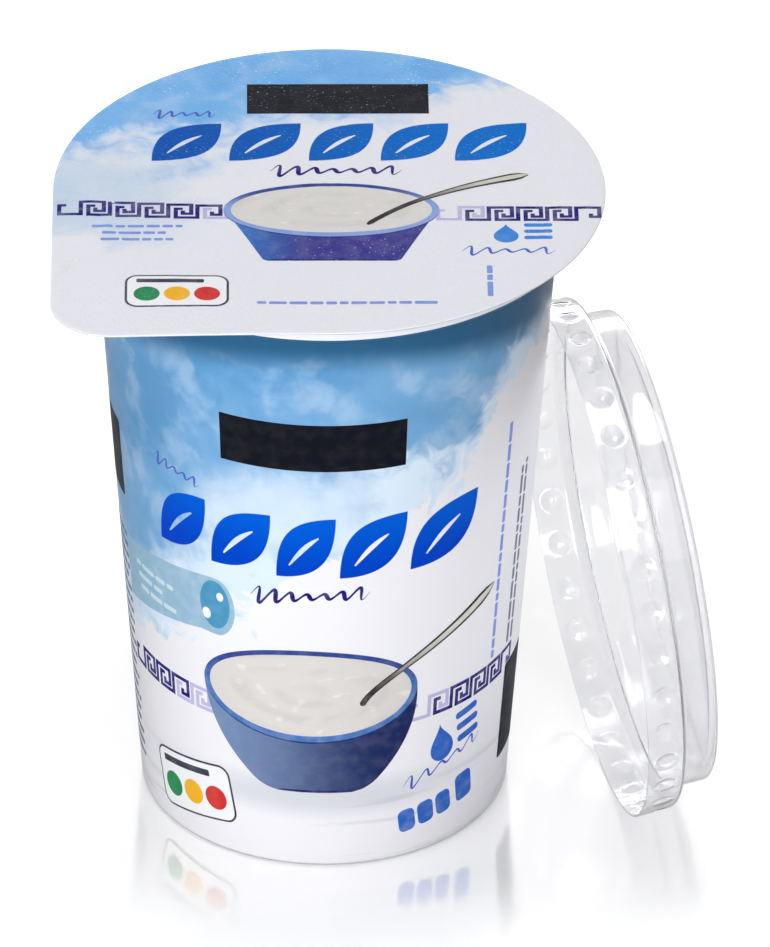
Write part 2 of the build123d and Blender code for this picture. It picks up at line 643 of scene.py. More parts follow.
@dataclass(frozen=True)
class FoilPrintFinish:
    """Printed top of the foil: sky at the back left, lilac white elsewhere, finely embossed."""

    name: str = "foil_print"
    slope_right: float = -0.43
    slope_back: float = 0.83
    edge_at: float = 12.5 * MM
    edge_width: float = 14 * MM
    cloud_scale: float = 40.0
    depth: float = 24 * MM
    deep_reach: float = 57.6 * MM
    tint_share: float = 0.8
    tint_scale: float = 60.0
    tint_fray: float = 0.05
    tint_across: Point = (-16 * MM, -40 * MM)
    tint_low: Point = (-24 * MM, -12 * MM)
    tint_high: Point = (14 * MM, 2 * MM)

    def build(self, effects: Effects) -> Material:
        """Builds the material.

        Args:
            effects: Shared node groups.

        Returns:
            The material.
        """
        base = Base(self.name)
        w = base.wires
        position = w.position()
        way = w.vector("DOT_PRODUCT", position, (self.slope_right, self.slope_back, 0.0))
        sky = w.group(
            effects.sky.tree,
            Position=position,
            Height=w.math("SUBTRACT", way, self.edge_at),
            Depth=self.depth,
            Reach=self.deep_reach,
            Edge=self.edge_width,
            Scale=self.cloud_scale,
            Deep=Swatch.LID_SKY_DEEP.value,
            Sky=Swatch.LID_SKY.value,
            Pale=Swatch.LID_SKY_PALE.value,
            Ground=Swatch.FOIL_WHITE.value,
        )
        colour = self.left_tint(w, position, sky.outputs["Color"])
        # The grain adds its painted glints to the printed colour.
        grain = w.group(effects.grain.tree, Position=position, Color=colour, Amount=0.6)
        base.set(Base_Color=grain.outputs["Color"], Roughness=grain.outputs["Roughness"], Metallic=0.0)
        base.set(IOR=1.5, Specular_IOR_Level=0.3)
        base.bump(grain.outputs["Height"], 0.00014, 0.45)
        return base.material

    def left_tint(self, w: Wiring, position: NodeSocket, colour: NodeSocket) -> NodeSocket:
        """Pale blue that runs down the left edge.

        Args:
            w: The material's wiring.
            position: Object coordinates.
            colour: Colour under it.

        Returns:
            The tinted colour.
        """
        split = w.node("ShaderNodeSeparateXYZ")
        w.feed(split.inputs[0], position)
        fray = w.math("SUBTRACT", w.noise(position, self.tint_scale, 5.0, 0.8), 0.5)
        fray = w.math("MULTIPLY", fray, self.tint_fray)
        across = w.smooth(w.math("ADD", split.outputs["X"], fray), *self.tint_across)
        low = w.smooth(w.math("ADD", split.outputs["Y"], fray), *self.tint_low)
        high = w.smooth(split.outputs["Y"], *self.tint_high)
        band = w.math("MULTIPLY", w.math("MULTIPLY", low, high), across)
        return w.mix(w.math("MULTIPLY", band, self.tint_share), colour, Swatch.FOIL_TINT.value)


@dataclass(frozen=True)
class BareFoilFinish:
    """Bare aluminium of the foil's underside and edge."""

    name: str = "foil_bare"

    def build(self, effects: Effects) -> Material:
        """Builds the material.

        Args:
            effects: Shared node groups.

        Returns:
            The material.
        """
        base = Base(self.name)
        w = base.wires
        position = w.position()
        bare = Swatch.FOIL_BARE.value
        # The grain adds painted glints to the bare foil's colour.
        grain = w.group(effects.grain.tree, Position=position, Color=bare, Amount=0.3)
        base.set(Base_Color=grain.outputs["Color"], Roughness=grain.outputs["Roughness"], Metallic=0.85)
        base.bump(grain.outputs["Height"], 0.0001, 0.3)
        return base.material


@dataclass(frozen=True)
class InkFinish:
    """One printed colour, or two that shade into each other."""

    name: str
    first: Swatch
    second: Swatch | None = None
    along: Axis = Axis.UP
    start: float = 0.0
    end: float = 1.0
    mottle: float = 0.05
    on_foil: bool = False
    # Share of painted glints from the foil's grain.
    specks: float = 0.8

    def build(self, effects: Effects) -> Material:
        """Builds the material, with the foil's grain where the ink lies on the foil.

        Args:
            effects: Shared node groups.

        Returns:
            The material.
        """
        base = Base(self.name)
        w = base.wires
        position = w.position()
        ink = w.group(
            effects.ink.tree,
            Position=position,
            First=self.first.value,
            Second=(self.second or self.first).value,
            Along=self.along.value,
            Start=self.start,
            End=self.end,
            Mottle=self.mottle,
        )
        base.set(Metallic=0.0, IOR=1.48, Specular_IOR_Level=0.03)
        if not self.on_foil:
            base.set(Base_Color=ink.outputs["Color"], Roughness=ink.outputs["Roughness"])
            return base.material
        inked = ink.outputs["Color"]
        # On foil the grain adds painted glints to the ink's colour.
        grain = w.group(effects.grain.tree, Position=position, Color=inked, Amount=self.specks)
        base.set(Base_Color=grain.outputs["Color"], Roughness=grain.outputs["Roughness"])
        base.bump(grain.outputs["Height"], 0.00012, 0.35)
        return base.material


@dataclass(frozen=True)
class YogurtInkFinish:
    """Printed yogurt: soft swirls of grey in cream white, round the middle of the bowl."""

    name: str
    centre: Triple
    spread: Triple
    on_foil: bool = False
    swirl_scale: float = 0.34
    swirl_bend: float = 4.2
    swirl_detail_scale: float = 0.8
    swirl_span: Point = (0.15, 0.95)
    blot_span: Point = (0.36, 0.66)
    light_span: Point = (0.6, 0.8)
    shade_share: float = 0.62

    def build(self, effects: Effects) -> Material:
        """Builds the material.

        Args:
            effects: Shared node groups.

        Returns:
            The material.
        """
        base = Base(self.name)
        w = base.wires
        position = w.position()
        local = w.vector("DIVIDE", w.vector("SUBTRACT", position, self.centre), self.spread)
        rings = w.node("ShaderNodeTexWave", wave_type="RINGS", rings_direction="SPHERICAL")
        w.feed(rings.inputs["Vector"], local)
        rings.inputs["Scale"].default_value = self.swirl_scale
        rings.inputs["Distortion"].default_value = self.swirl_bend
        rings.inputs["Detail"].default_value = 1.0
        rings.inputs["Detail Scale"].default_value = self.swirl_detail_scale
        fold = w.smooth(rings.outputs["Fac"], *self.swirl_span)
        blots = w.smooth(w.noise(local, 0.9, 1.5, 0.8), *self.blot_span)
        shade = w.math("MULTIPLY", w.math("MULTIPLY", fold, blots), self.shade_share)
        colour = w.mix(shade, Swatch.YOGURT.value, Swatch.YOGURT_SHADE.value)
        rise = w.smooth(w.noise(local, 2.6, 1.0), *self.light_span)
        colour = w.mix(w.math("MULTIPLY", rise, 0.5), colour, Swatch.YOGURT_LIGHT.value)
        base.set(Roughness=0.36, Metallic=0.0, IOR=1.48, Specular_IOR_Level=0.25)
        if not self.on_foil:
            base.set(Base_Color=colour)
            return base.material
        # The grain adds painted glints to the printed yogurt.
        grain = w.group(effects.grain.tree, Position=position, Color=colour, Amount=0.4)
        base.set(Base_Color=grain.outputs["Color"])
        base.bump(grain.outputs["Height"], 0.00012, 0.35)
        return base.material


@dataclass(frozen=True)
class ClearPlasticFinish:
    """Thin clear thermoformed plastic, which lets lamps through."""

    name: str = "overcap_clear_plastic"
    clearness: float = 0.9
    ior: float = 1.22
    lamp_tint: Colour = (0.68, 0.68, 0.69)

    def build(self, effects: Effects) -> Material:
        """Builds the material, with a Transparent shader for rays from the lamps.

        Args:
            effects: Shared node groups.

        Returns:
            The material.
        """
        base = Base(self.name)
        w = base.wires
        skin = w.group(effects.skin.tree, Position=w.position(), Low=0.04, High=0.10)
        base.set(Base_Color=Swatch.CLEAR_PLASTIC.value, Transmission_Weight=self.clearness)
        base.set(Metallic=0.0, IOR=self.ior)
        base.set(Roughness=skin.outputs["Roughness"], Coat_Weight=1.0, Coat_Roughness=0.04)
        base.bump(skin.outputs["Height"], 0.0003, 0.15)
        through = w.node("ShaderNodeBsdfTransparent")
        w.feed(through.inputs["Color"], self.lamp_tint)
        light = w.node("ShaderNodeLightPath")
        pick = w.node("ShaderNodeMixShader")
        w.feed(pick.inputs[0], light.outputs["Is Shadow Ray"])
        w.feed(pick.inputs[1], base.shader.outputs["BSDF"])
        w.feed(pick.inputs[2], through.outputs["BSDF"])
        w.feed(base.output.inputs["Surface"], pick.outputs["Shader"])
        return base.material


class Shapes:
    """Outlines of flat shapes, in millimetres, wound anticlockwise."""

    @staticmethod
    def box(left: float, right: float, low: float, high: float) -> Outline:
        """Rectangle."""
        return [(left, low), (right, low), (right, high), (left, high)]

    @staticmethod
    def round_box(left: float, right: float, low: float, high: float, corner: float) -> Outline:
        """Rectangle with round corners.

        Args:
            left: Left side.
            right: Right side.
            low: Lower side.
            high: Upper side.
            corner: Radius of the corners.

        Returns:
            The outline.
        """
        centres = [
            (right - corner, low + corner, -90),
            (right - corner, high - corner, 0),
            (left + corner, high - corner, 90),
            (left + corner, low + corner, 180),
        ]
        outline = []
        for x, y, start in centres:
            turns = [math.radians(start + step * 15) for step in range(7)]
            outline += [(x + corner * math.cos(t), y + corner * math.sin(t)) for t in turns]
        return outline

    @staticmethod
    def oval(x: float, y: float, half_width: float, half_height: float, count: int = 64) -> Outline:
        """Ellipse of a number of points."""
        turns = [2 * math.pi * i / count for i in range(count)]
        return [(x + half_width * math.cos(t), y + half_height * math.sin(t)) for t in turns]

    @staticmethod
    def ribbon(line: Outline, halves: list[float] | float) -> Outline:
        """Outline of a stroke along a line, mitred at its corners.

        Args:
            line: Points of the middle line.
            halves: Half the stroke's width, for the whole line or for each point.

        Returns:
            The outline.
        """
        count = len(line)
        widths = halves if isinstance(halves, list) else [halves] * count
        left, right = [], []
        for i, (x, y) in enumerate(line):
            before = line[max(i - 1, 0)]
            after = line[min(i + 1, count - 1)]
            way_in = Vector((x - before[0], y - before[1]))
            way_out = Vector((after[0] - x, after[1] - y))
            way_in = (way_in if way_in.length > 0 else way_out).normalized()
            way_out = (way_out if way_out.length > 0 else way_in).normalized()
            middle = (way_in + way_out) / (1 + way_in.dot(way_out))
            left.append((x - middle.y * widths[i], y + middle.x * widths[i]))
            right.append((x + middle.y * widths[i], y - middle.x * widths[i]))
        return right + left[::-1]

    @staticmethod
    def turned(outline: Outline, degrees: float, about: Point) -> Outline:
        """Outline turned anticlockwise about a point."""
        c, s = math.cos(math.radians(degrees)), math.sin(math.radians(degrees))
        moved = [(x - about[0], y - about[1]) for x, y in outline]
        return [(about[0] + x * c - y * s, about[1] + x * s + y * c) for x, y in moved]

    @staticmethod
    def wave(
        start: Point, length: float, rise: float, humps: int, half: float, lean: float = 0.0
    ) -> Outline:
        """Brush stroke that swings up and down and thins at both ends.

        Args:
            start: Left end of its middle line.
            length: Length to the right.
            rise: Height of each swing from the middle.
            humps: Number of whole swings.
            half: Half its greatest width.
            lean: Rise of the middle line over the length.

        Returns:
            The outline.
        """
        count = 16 * humps
        line, halves = [], []
        for i in range(count + 1):
            t = i / count
            phase = 2 * math.pi * humps * t
            tall = rise * (0.72 + 0.42 * math.sin(2.1 + 4.6 * t))
            y = tall * math.sin(phase)
            line.append((start[0] + length * t + 0.42 * y, start[1] + lean * t + y))
            taper = min(1.0, 0.25 + 7 * t, 0.15 + 7 * (1 - t))
            halves.append(half * taper * (0.72 - 0.28 * math.cos(phase)))
        return Shapes.ribbon(line, halves)

    @staticmethod
    def drop(middle: Point, half: float, height: float) -> Outline:
        """Drop with a round foot and a pointed top.

        Args:
            middle: Middle of its box.
            half: Half its width.
            height: Its height.

        Returns:
            The outline.
        """
        foot = middle[1] - height / 2 + half
        reach = height - half
        turns = [math.pi * (1 + i / 24) for i in range(25)]
        outline = [(middle[0] + half * math.cos(t), foot + half * math.sin(t)) for t in turns]
        shares = [i / 12 for i in range(1, 12)]
        side = [(half * math.cos(t * math.pi / 2) ** 1.6, foot + reach * t) for t in shares]
        outline += [(middle[0] + x, y) for x, y in side]
        outline.append((middle[0], foot + reach))
        return outline + [(middle[0] - x, y) for x, y in side[::-1]]

    @staticmethod
    def leaf(left: float, right: float, low: float, high: float) -> list[Outline]:
        """Plump leaf from the lower left to the upper right of a box, slit along its vein.

        Args:
            left: Left side of the box.
            right: Right side.
            low: Lower side.
            high: Upper side.

        Returns:
            The outline and its slit.
        """
        width, height = right - left, high - low
        steps = 24
        lower = [Shapes.bezier((0, 0), (0.72, 0.0), (1.0, 0.28), (1, 1), i / steps) for i in range(steps)]
        upper = [Shapes.bezier((1, 1), (0.28, 1.0), (0.0, 0.72), (0, 0), i / steps) for i in range(steps)]
        vein, halves = [], []
        for i in range(9):
            t = i / 8
            vein.append((0.22 + 0.50 * t, 0.20 + 0.48 * t + 0.05 * math.sin(math.pi * t)))
            halves.append(0.012 + 0.030 * math.sin(math.pi * t))
        both = (lower + upper, Shapes.ribbon(vein, halves))
        return [[(left + width * x, low + height * y) for x, y in outline] for outline in both]

    @staticmethod
    def bezier(start: Point, leave: Point, arrive: Point, end: Point, t: float) -> Point:
        """Point of a cubic curve."""
        shares = ((1 - t) ** 3, 3 * t * (1 - t) ** 2, 3 * t * t * (1 - t), t ** 3)
        corners = (start, leave, arrive, end)
        return tuple(sum(k * p[i] for k, p in zip(shares, corners)) for i in range(2))


@dataclass
class Patch:
    """A flat shape with any holes in it."""

    outline: Outline
    holes: list[Outline] = field(default_factory=list)


class PrintSheet(ABC):
    """A surface of the pack that print is laid on."""

    strip_across: float = 1.0
    strip_up: float = 400.0

    @abstractmethod
    def place(self, across: float, up: float, lift: float) -> Vector:
        """Point of the part's frame over a layout point.

        Args:
            across: Layout distance to the right, in millimetres.
            up: Layout distance up, in millimetres.
            lift: Height over the surface, in metres.

        Returns:
            The point, in metres.
        """


class Mesher:
    """Makes mesh objects."""

    @staticmethod
    def piece(name: str, points: list, faces: list, materials: list[Material]) -> Object:
        """Makes a smooth-shaded object in the scene.

        Args:
            name: Name of the piece.
            points: Vertices, in metres.
            faces: Vertex numbers of each face.
            materials: Its material slots.

        Returns:
            The object.
        """
        mesh = bpy.data.meshes.new(name)
        mesh.from_pydata([tuple(p) for p in points], [], faces)
        mesh.validate()
        for material in materials:
            mesh.materials.append(material)
        mesh.polygons.foreach_set("use_smooth", [True] * len(mesh.polygons))
        made = bpy.data.objects.new(name, mesh)
        bpy.context.scene.collection.objects.link(made)
        return made

    @staticmethod
    def flat_faces(patches: list[Patch], sheet: PrintSheet) -> tuple[list[Point], list[list[int]]]:
        """Fills patches with triangles and cuts them into strips that can follow the sheet.

        Args:
            patches: Shapes to fill, which don't overlap.
            sheet: Surface whose strip sizes are used.

        Returns:
            Layout points and the faces between them, wound anticlockwise.
        """
        form = bmesh.new()
        for patch in patches:
            loops = [[Vector((x, y, 0)) for x, y in loop] for loop in [patch.outline, *patch.holes]]
            corners = [form.verts.new(p) for loop in loops for p in loop]
            for triangle in tessellate_polygon(loops):
                a, b, c = (corners[i] for i in triangle)
                area = (b.co - a.co).cross(c.co - a.co).z
                if abs(area) > 1e-7:
                    form.faces.new((a, b, c) if area > 0 else (a, c, b))
        for axis, step in ((0, sheet.strip_across), (1, sheet.strip_up)):
            values = [v.co[axis] for v in form.verts]
            for cut in np.arange(math.floor(min(values) / step) * step + step, max(values), step):
                spot, way = [0.0, 0.0, 0.0], [0.0, 0.0, 0.0]
                spot[axis], way[axis] = float(cut), 1.0
                everything = form.verts[:] + form.edges[:] + form.faces[:]
                bmesh.ops.bisect_plane(form, geom=everything, plane_co=spot, plane_no=way, dist=1e-5)
        bmesh.ops.remove_doubles(form, verts=form.verts[:], dist=1e-5)
        form.verts.index_update()
        points = [(v.co.x, v.co.y) for v in form.verts]
        faces = [[v.index for v in face.verts] for face in form.faces]
        form.free()
        return points, faces

    @staticmethod
    def print_layer(
        name: str,
        patches: list[Patch],
        sheet: PrintSheet,
        material: Material,
        lift: float = INK_LIFT,
    ) -> Object:
        """Lays patches on a sheet as one closed skin of ink that reaches just into the surface.

        Args:
            name: Name of the piece.
            patches: Shapes, in layout millimetres.
            sheet: Surface that carries them.
            material: Ink.
            lift: Height of the ink's top over the surface.

        Returns:
            The object.
        """
        flat, faces = Mesher.flat_faces(patches, sheet)
        count = len(flat)
        points = [sheet.place(x, y, lift) for x, y in flat]
        points += [sheet.place(x, y, -INK_ROOT) for x, y in flat]
        edges: dict[tuple[int, int], int] = {}
        for face in faces:
            for a, b in zip(face, face[1:] + face[:1]):
                edges[(a, b)] = edges.get((a, b), 0) + 1
        sides = [[b, a, a + count, b + count] for a, b in edges if (b, a) not in edges]
        under = [[i + count for i in reversed(face)] for face in faces]
        made = Mesher.piece(name, points, faces + under + sides, [material])
        made.data.set_sharp_from_angle(angle=math.radians(40))
        return made

    @staticmethod
    def rounded(corners: list[Triple], steps: int = 6) -> Outline:
        """Rounds a section's corners.

        Args:
            corners: Radius, height and rounding of each corner; the ends aren't rounded.
            steps: Pieces in each rounding.

        Returns:
            Points of the section.
        """
        line = [corners[0][:2]]
        for before, here, after in zip(corners, corners[1:], corners[2:]):
            spot = Vector(here[:2])
            back = (Vector(before[:2]) - spot).normalized()
            ahead = (Vector(after[:2]) - spot).normalized()
            half = math.acos(max(-1.0, min(1.0, back.dot(ahead)))) / 2
            if here[2] <= 0 or half > math.radians(89.5):
                line.append(tuple(spot))
                continue
            reach = here[2] / math.tan(half)
            centre = spot + (back + ahead).normalized() * (here[2] / math.sin(half))
            first = spot + back * reach - centre
            last = spot + ahead * reach - centre
            start = math.atan2(first.y, first.x)
            sweep = (math.atan2(last.y, last.x) - start + math.pi) % (2 * math.pi) - math.pi
            for i in range(steps + 1):
                turn = start + sweep * i / steps
                line.append((centre.x + here[2] * math.cos(turn), centre.y + here[2] * math.sin(turn)))
        line.append(corners[-1][:2])
        return line

    @staticmethod
    def between(start: Point, end: Point, t: float) -> Point:
        """Point on a straight run, from 0 at its start to 1 at its end."""
        return start[0] + (end[0] - start[0]) * t, start[1] + (end[1] - start[1]) * t


@dataclass
class TubWall(PrintSheet):
    """Cone of the tub's wall, laid out flat with its front in the middle."""

    foot_radius: float = 33.3 * MM
    top_radius: float = 41.6 * MM
    height: float = 120.85 * MM
    mm_per_degree: float = 0.65

    def radius(self, height: float) -> float:
        """Radius of the wall at a height."""
        return self.foot_radius + (self.top_radius - self.foot_radius) * height / self.height

    def place(self, across: float, up: float, lift: float) -> Vector:
        """Point over the wall, with across measured round from the front."""
        turn = math.radians(across / self.mm_per_degree)
        radius = self.radius(up * MM) + lift
        return Vector((radius * math.sin(turn), -radius * math.cos(turn), up * MM))


@dataclass
class Tub:
    """Tapered tub with its flange, rolled rim and slightly hollow base."""

    wall: TubWall
    rim_radius: float
    top: float
    rim_depth: float = 3.4 * MM
    rim_plate: float = 1.5 * MM
    roll_width: float = 2.0 * MM
    base_recess: float = 0.6 * MM
    base_ring: float = 4.0 * MM
    base_step: float = 1.2 * MM
    foot_round: float = 0.8 * MM
    neck_round: float = 1.5 * MM
    rim_round: float = 0.6 * MM
    segments: int = 360
    wall_rows: int = 24
    long_side: float = 50 * MM
    print_low: float = 0.9 * MM
    print_high: float = 119.4 * MM

    def section(self) -> Outline:
        """Section from the middle of the base, round the outside, to the middle of the top."""
        wall, rim = self.wall, self.rim_radius
        roll = rim - self.roll_width
        low = self.top - self.rim_depth
        plate = self.top - self.rim_plate
        foot = wall.foot_radius
        corners = [
            (0.0, self.base_recess, 0.0),
            (foot - self.base_ring - self.base_step, self.base_recess, 0.5 * MM),
            (foot - self.base_ring, 0.0, 0.4 * MM),
            (foot, 0.0, self.foot_round),
            (wall.top_radius, plate, self.neck_round),
            (roll, plate, self.rim_round),
            (roll, low, self.rim_round),
            (rim, low, self.rim_round),
            (rim, self.top, self.rim_round),
            (0.0, self.top, 0.0),
        ]
        return self.with_wall_rows(Mesher.rounded(corners))

    @staticmethod
    def place(radius: float, height: float, turn: float) -> Triple:
        """Point of the tub's skin, turned from the front."""
        return radius * math.sin(turn), -radius * math.cos(turn), height

    def with_wall_rows(self, section: Outline) -> Outline:
        """Section with rows added up the long wall."""
        dense = [section[0]]
        for before, here in zip(section, section[1:]):
            rows = self.wall_rows if here[1] - before[1] > self.long_side else 1
            dense += [Mesher.between(before, here, i / rows) for i in range(1, rows + 1)]
        return dense

    def build(self, effects: Effects) -> Object:
        """Turns the section and dresses it.

        Args:
            effects: Shared node groups.

        Returns:
            The tub.
        """
        points, faces = Turning(self.section(), self.segments, self.place).build()
        finishes = [WallPrintFinish().build(effects), PlasticFinish().build(effects)]
        tub = Mesher.piece("tub", points, faces, finishes)
        for face in tub.data.polygons:
            low = min(tub.data.vertices[i].co.z for i in face.vertices)
            high = max(tub.data.vertices[i].co.z for i in face.vertices)
            printed = low >= self.print_low - 0.4 * MM and high <= self.print_high + 0.3 * MM
            face.material_index = 0 if printed else 1
        tub.data.set_sharp_from_angle(angle=math.radians(50))
        self.unwrap(tub)
        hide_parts("pot")
        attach(tub, "root")
        return tub

    def unwrap(self, tub: Object) -> None:
        """Unrolls the wall over most of a bake map, with the base and the rim in strips beside it."""
        layer = tub.data.uv_layers.new(name="OFBake")
        for face in tub.data.polygons:
            corners = [tub.data.vertices[i].co for i in face.vertices]
            turns = [math.atan2(co.x, -co.y) for co in corners]
            middle = face.center
            facing = math.atan2(middle.x, -middle.y)
            for loop, co, turn in zip(face.loop_indices, corners, turns):
                if math.hypot(co.x, co.y) < 1e-6:
                    turn = facing
                if turn - facing > math.pi:
                    turn -= 2 * math.pi
                if facing - turn > math.pi:
                    turn += 2 * math.pi
                layer.data[loop].uv = ((turn / (2 * math.pi) + 0.5) * 0.996 + 0.002, self.map_height(co))

    def map_height(self, co: Vector) -> float:
        """Height on the bake map, with the wall from 0.06 to 0.90."""
        radius = math.hypot(co.x, co.y)
        plate = self.top - self.rim_plate
        if co.z <= 0.8 * MM and radius < self.wall.foot_radius + 0.5 * MM:
            return 0.005 + 0.05 * radius / (self.wall.foot_radius + 1 * MM)
        if radius < self.wall.radius(co.z) + 0.5 * MM and co.z < plate:
            return 0.06 + 0.84 * co.z / plate
        if co.z >= self.top - 0.7 * MM:
            return 0.95 + 0.045 * (1 - radius / (self.rim_radius + 1 * MM))
        return 0.905 + 0.04 * (radius - self.wall.top_radius) / (self.rim_radius - self.wall.top_radius)


@dataclass
class Turning:
    """Turns a section about its axis, where a function places a radius, a height and a turn."""

    section: Outline
    segments: int
    place: Callable[[float, float, float], Triple | Vector]
    closed: bool = False

    def build(self) -> tuple[list, list]:
        """Points and faces, with fans where the section meets the axis."""
        points, rows = [], []
        for radius, height in self.section:
            start = len(points)
            count = 1 if radius < 1e-9 else self.segments
            turns = [2 * math.pi * i / self.segments for i in range(count)]
            points += [self.place(radius, height, turn) for turn in turns]
            rows.append([start + i % count for i in range(self.segments)])
        faces = []
        for below, above in zip(rows, rows[1:] + rows[:1] if self.closed else rows[1:]):
            for i in range(self.segments):
                j = (i + 1) % self.segments
                corner = [below[i], below[j], above[j], above[i]]
                face = [v for k, v in enumerate(corner) if v not in corner[:k]]
                if len(face) > 2:
                    faces.append(face)
        return points, faces


@dataclass
class FoilLid(PrintSheet):
    """Foil disc with a square pull tab at the front left, sealed on the rim."""

    low: Vector
    high: Vector
    shift: float = 0.5 * MM
    turn: float = math.radians(0.5)
    tab_corner: float = 11.0 * MM
    seal_inner: float = 41.4 * MM
    seal_outer: float = 45.6 * MM
    dish: float = 0.10 * MM
    edge_round: float = 0.12 * MM
    strip_across: float = 1.5
    strip_up: float = 1.5
    rings: int = 60

    @property
    def radius(self) -> float:
        """Radius of the round part."""
        return self.high.x - self.shift

    def outline(self) -> Outline:
        """Outline about the foil's own middle, from the front round to the tab."""
        radius, corner = self.radius, self.tab_corner
        side, count = radius - corner, 24
        turns = [math.radians(-90 + i) for i in range(271)]
        line = [(radius * math.cos(t), radius * math.sin(t)) for t in turns]
        line += [(-radius, -side * i / count) for i in range(1, count + 1)]
        for i in range(1, count + 1):
            turn = math.radians(180 + i * 90 / count)
            line.append((-radius + corner * (1 + math.cos(turn)), -radius + corner * (1 + math.sin(turn))))
        return line + [(-side * (1 - i / count), -radius) for i in range(1, count)]

    def relief(self, x: float, y: float) -> float:
        """Height of the foil's top over its flat level, at a place in its own frame in metres."""
        radius = math.hypot(x, y)
        away = math.atan2(y, x)
        inside = smooth_step(self.seal_inner, self.seal_inner - 2.2 * MM, radius)
        depth = -self.dish * inside
        crimp = smooth_step(self.seal_inner, self.seal_inner + 0.5 * MM, radius)
        crimp *= smooth_step(self.seal_outer, self.seal_outer - 0.5 * MM, radius)
        depth -= 0.03 * MM * crimp
        slack = 0.035 * MM * math.sin(3 * away + 0.6) * math.sin(radius / (6.5 * MM))
        slack += 0.02 * MM * math.sin(7 * away + radius / (3.7 * MM))
        depth += slack * inside
        return depth + self.creases(x, y)

    def creases(self, x: float, y: float) -> float:
        """Small creases at the left edge, where the foil was pressed over the rim."""
        total = 0.0
        for at, bend, width, low, high in (
            (-41.5, 0.10, 0.9, -14.0, 12.0),
            (-43.6, -0.06, 0.7, -9.0, 16.0),
            (-38.6, 0.16, 0.8, -18.0, 2.0),
        ):
            middle = at * MM + bend * (y - 0.5 * (low + high) * MM)
            along = smooth_step(low * MM, (low + 6) * MM, y) * smooth_step(high * MM, (high - 6) * MM, y)
            total += 0.11 * MM * along * math.exp(-(((x - middle) / (width * MM)) ** 2))
        return total

    def droop(self, x: float, y: float) -> float:
        """How far the free edge and the tab hang under the flat level."""
        radius = math.hypot(x, y)
        past = max(0.0, radius - self.seal_outer)
        return -0.02 * past - 0.25 * MM * smooth_step(0.0, 16 * MM, past - 3 * MM)

    def local(self, across: float, up: float) -> tuple[float, float]:
        """Place in the part's frame of a place in the foil's own."""
        c, s = math.cos(self.turn), math.sin(self.turn)
        return self.shift + across * c - up * s, across * s + up * c

    def place(self, across: float, up: float, lift: float) -> Vector:
        """Point over the foil's top."""
        x, y = self.local(across * MM, up * MM)
        height = self.high.z + self.relief(across * MM, up * MM) + self.droop(across * MM, up * MM)
        return Vector((x, y, height + lift))

    def build(self, effects: Effects) -> Object:
        """Builds the foil as a closed thin plate with a round edge.

        Args:
            effects: Shared node groups.

        Returns:
            The foil.
        """
        outline = self.outline()
        count = len(outline)
        thick = self.high.z - self.low.z
        shares = [i / self.rings for i in range(1, self.rings)]
        shares += [1 - 1.2 * self.edge_round / self.radius]
        points = [self.place(0.0, 0.0, 0.0)]
        for share in shares:
            points += [self.place(x * share / MM, y * share / MM, 0.0) for x, y in outline]
        for i in range(1, 5):
            turn = math.pi * i / 5
            share = 1 - self.edge_round * (1 - math.sin(turn)) / self.radius
            drop = thick * (0.5 - 0.5 * math.cos(turn))
            points += [self.place(x * share / MM, y * share / MM, -drop) for x, y in outline]
        for share in shares[::-1]:
            points += [self.under(x * share, y * share) for x, y in outline]
        points.append(self.under(0.0, 0.0))
        faces = []
        rows = (len(points) - 2) // count
        for i in range(count):
            j = (i + 1) % count
            faces.append([0, 1 + i, 1 + j])
            faces.append([len(points) - 1, 1 + (rows - 1) * count + j, 1 + (rows - 1) * count + i])
        for a in range(1, 1 + (rows - 1) * count, count):
            for i in range(count):
                j = (i + 1) % count
                faces.append([a + i, a + count + i, a + count + j, a + j])
        finishes = [FoilPrintFinish().build(effects), BareFoilFinish().build(effects)]
        foil = Mesher.piece("foil_lid_sheet", points, faces, finishes)
        for face in foil.data.polygons:
            face.material_index = 0 if face.normal.z > 0.3 else 1
        foil.data.set_sharp_from_angle(angle=math.radians(60))
        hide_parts("foil_lid")
        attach(foil, "root")
        return foil

    def under(self, x: float, y: float) -> Vector:
        """Point of the foil's underside, flat where it lies on the flange."""
        place_x, place_y = self.local(x, y)
        return Vector((place_x, place_y, self.low.z + self.droop(x, y)))


def smooth_step(start: float, end: float, value: float) -> float:
    """Smooth step from 0 at the start to 1 at the end."""
    t = min(1.0, max(0.0, (value - start) / (end - start)))
    return t * t * (3 - 2 * t)


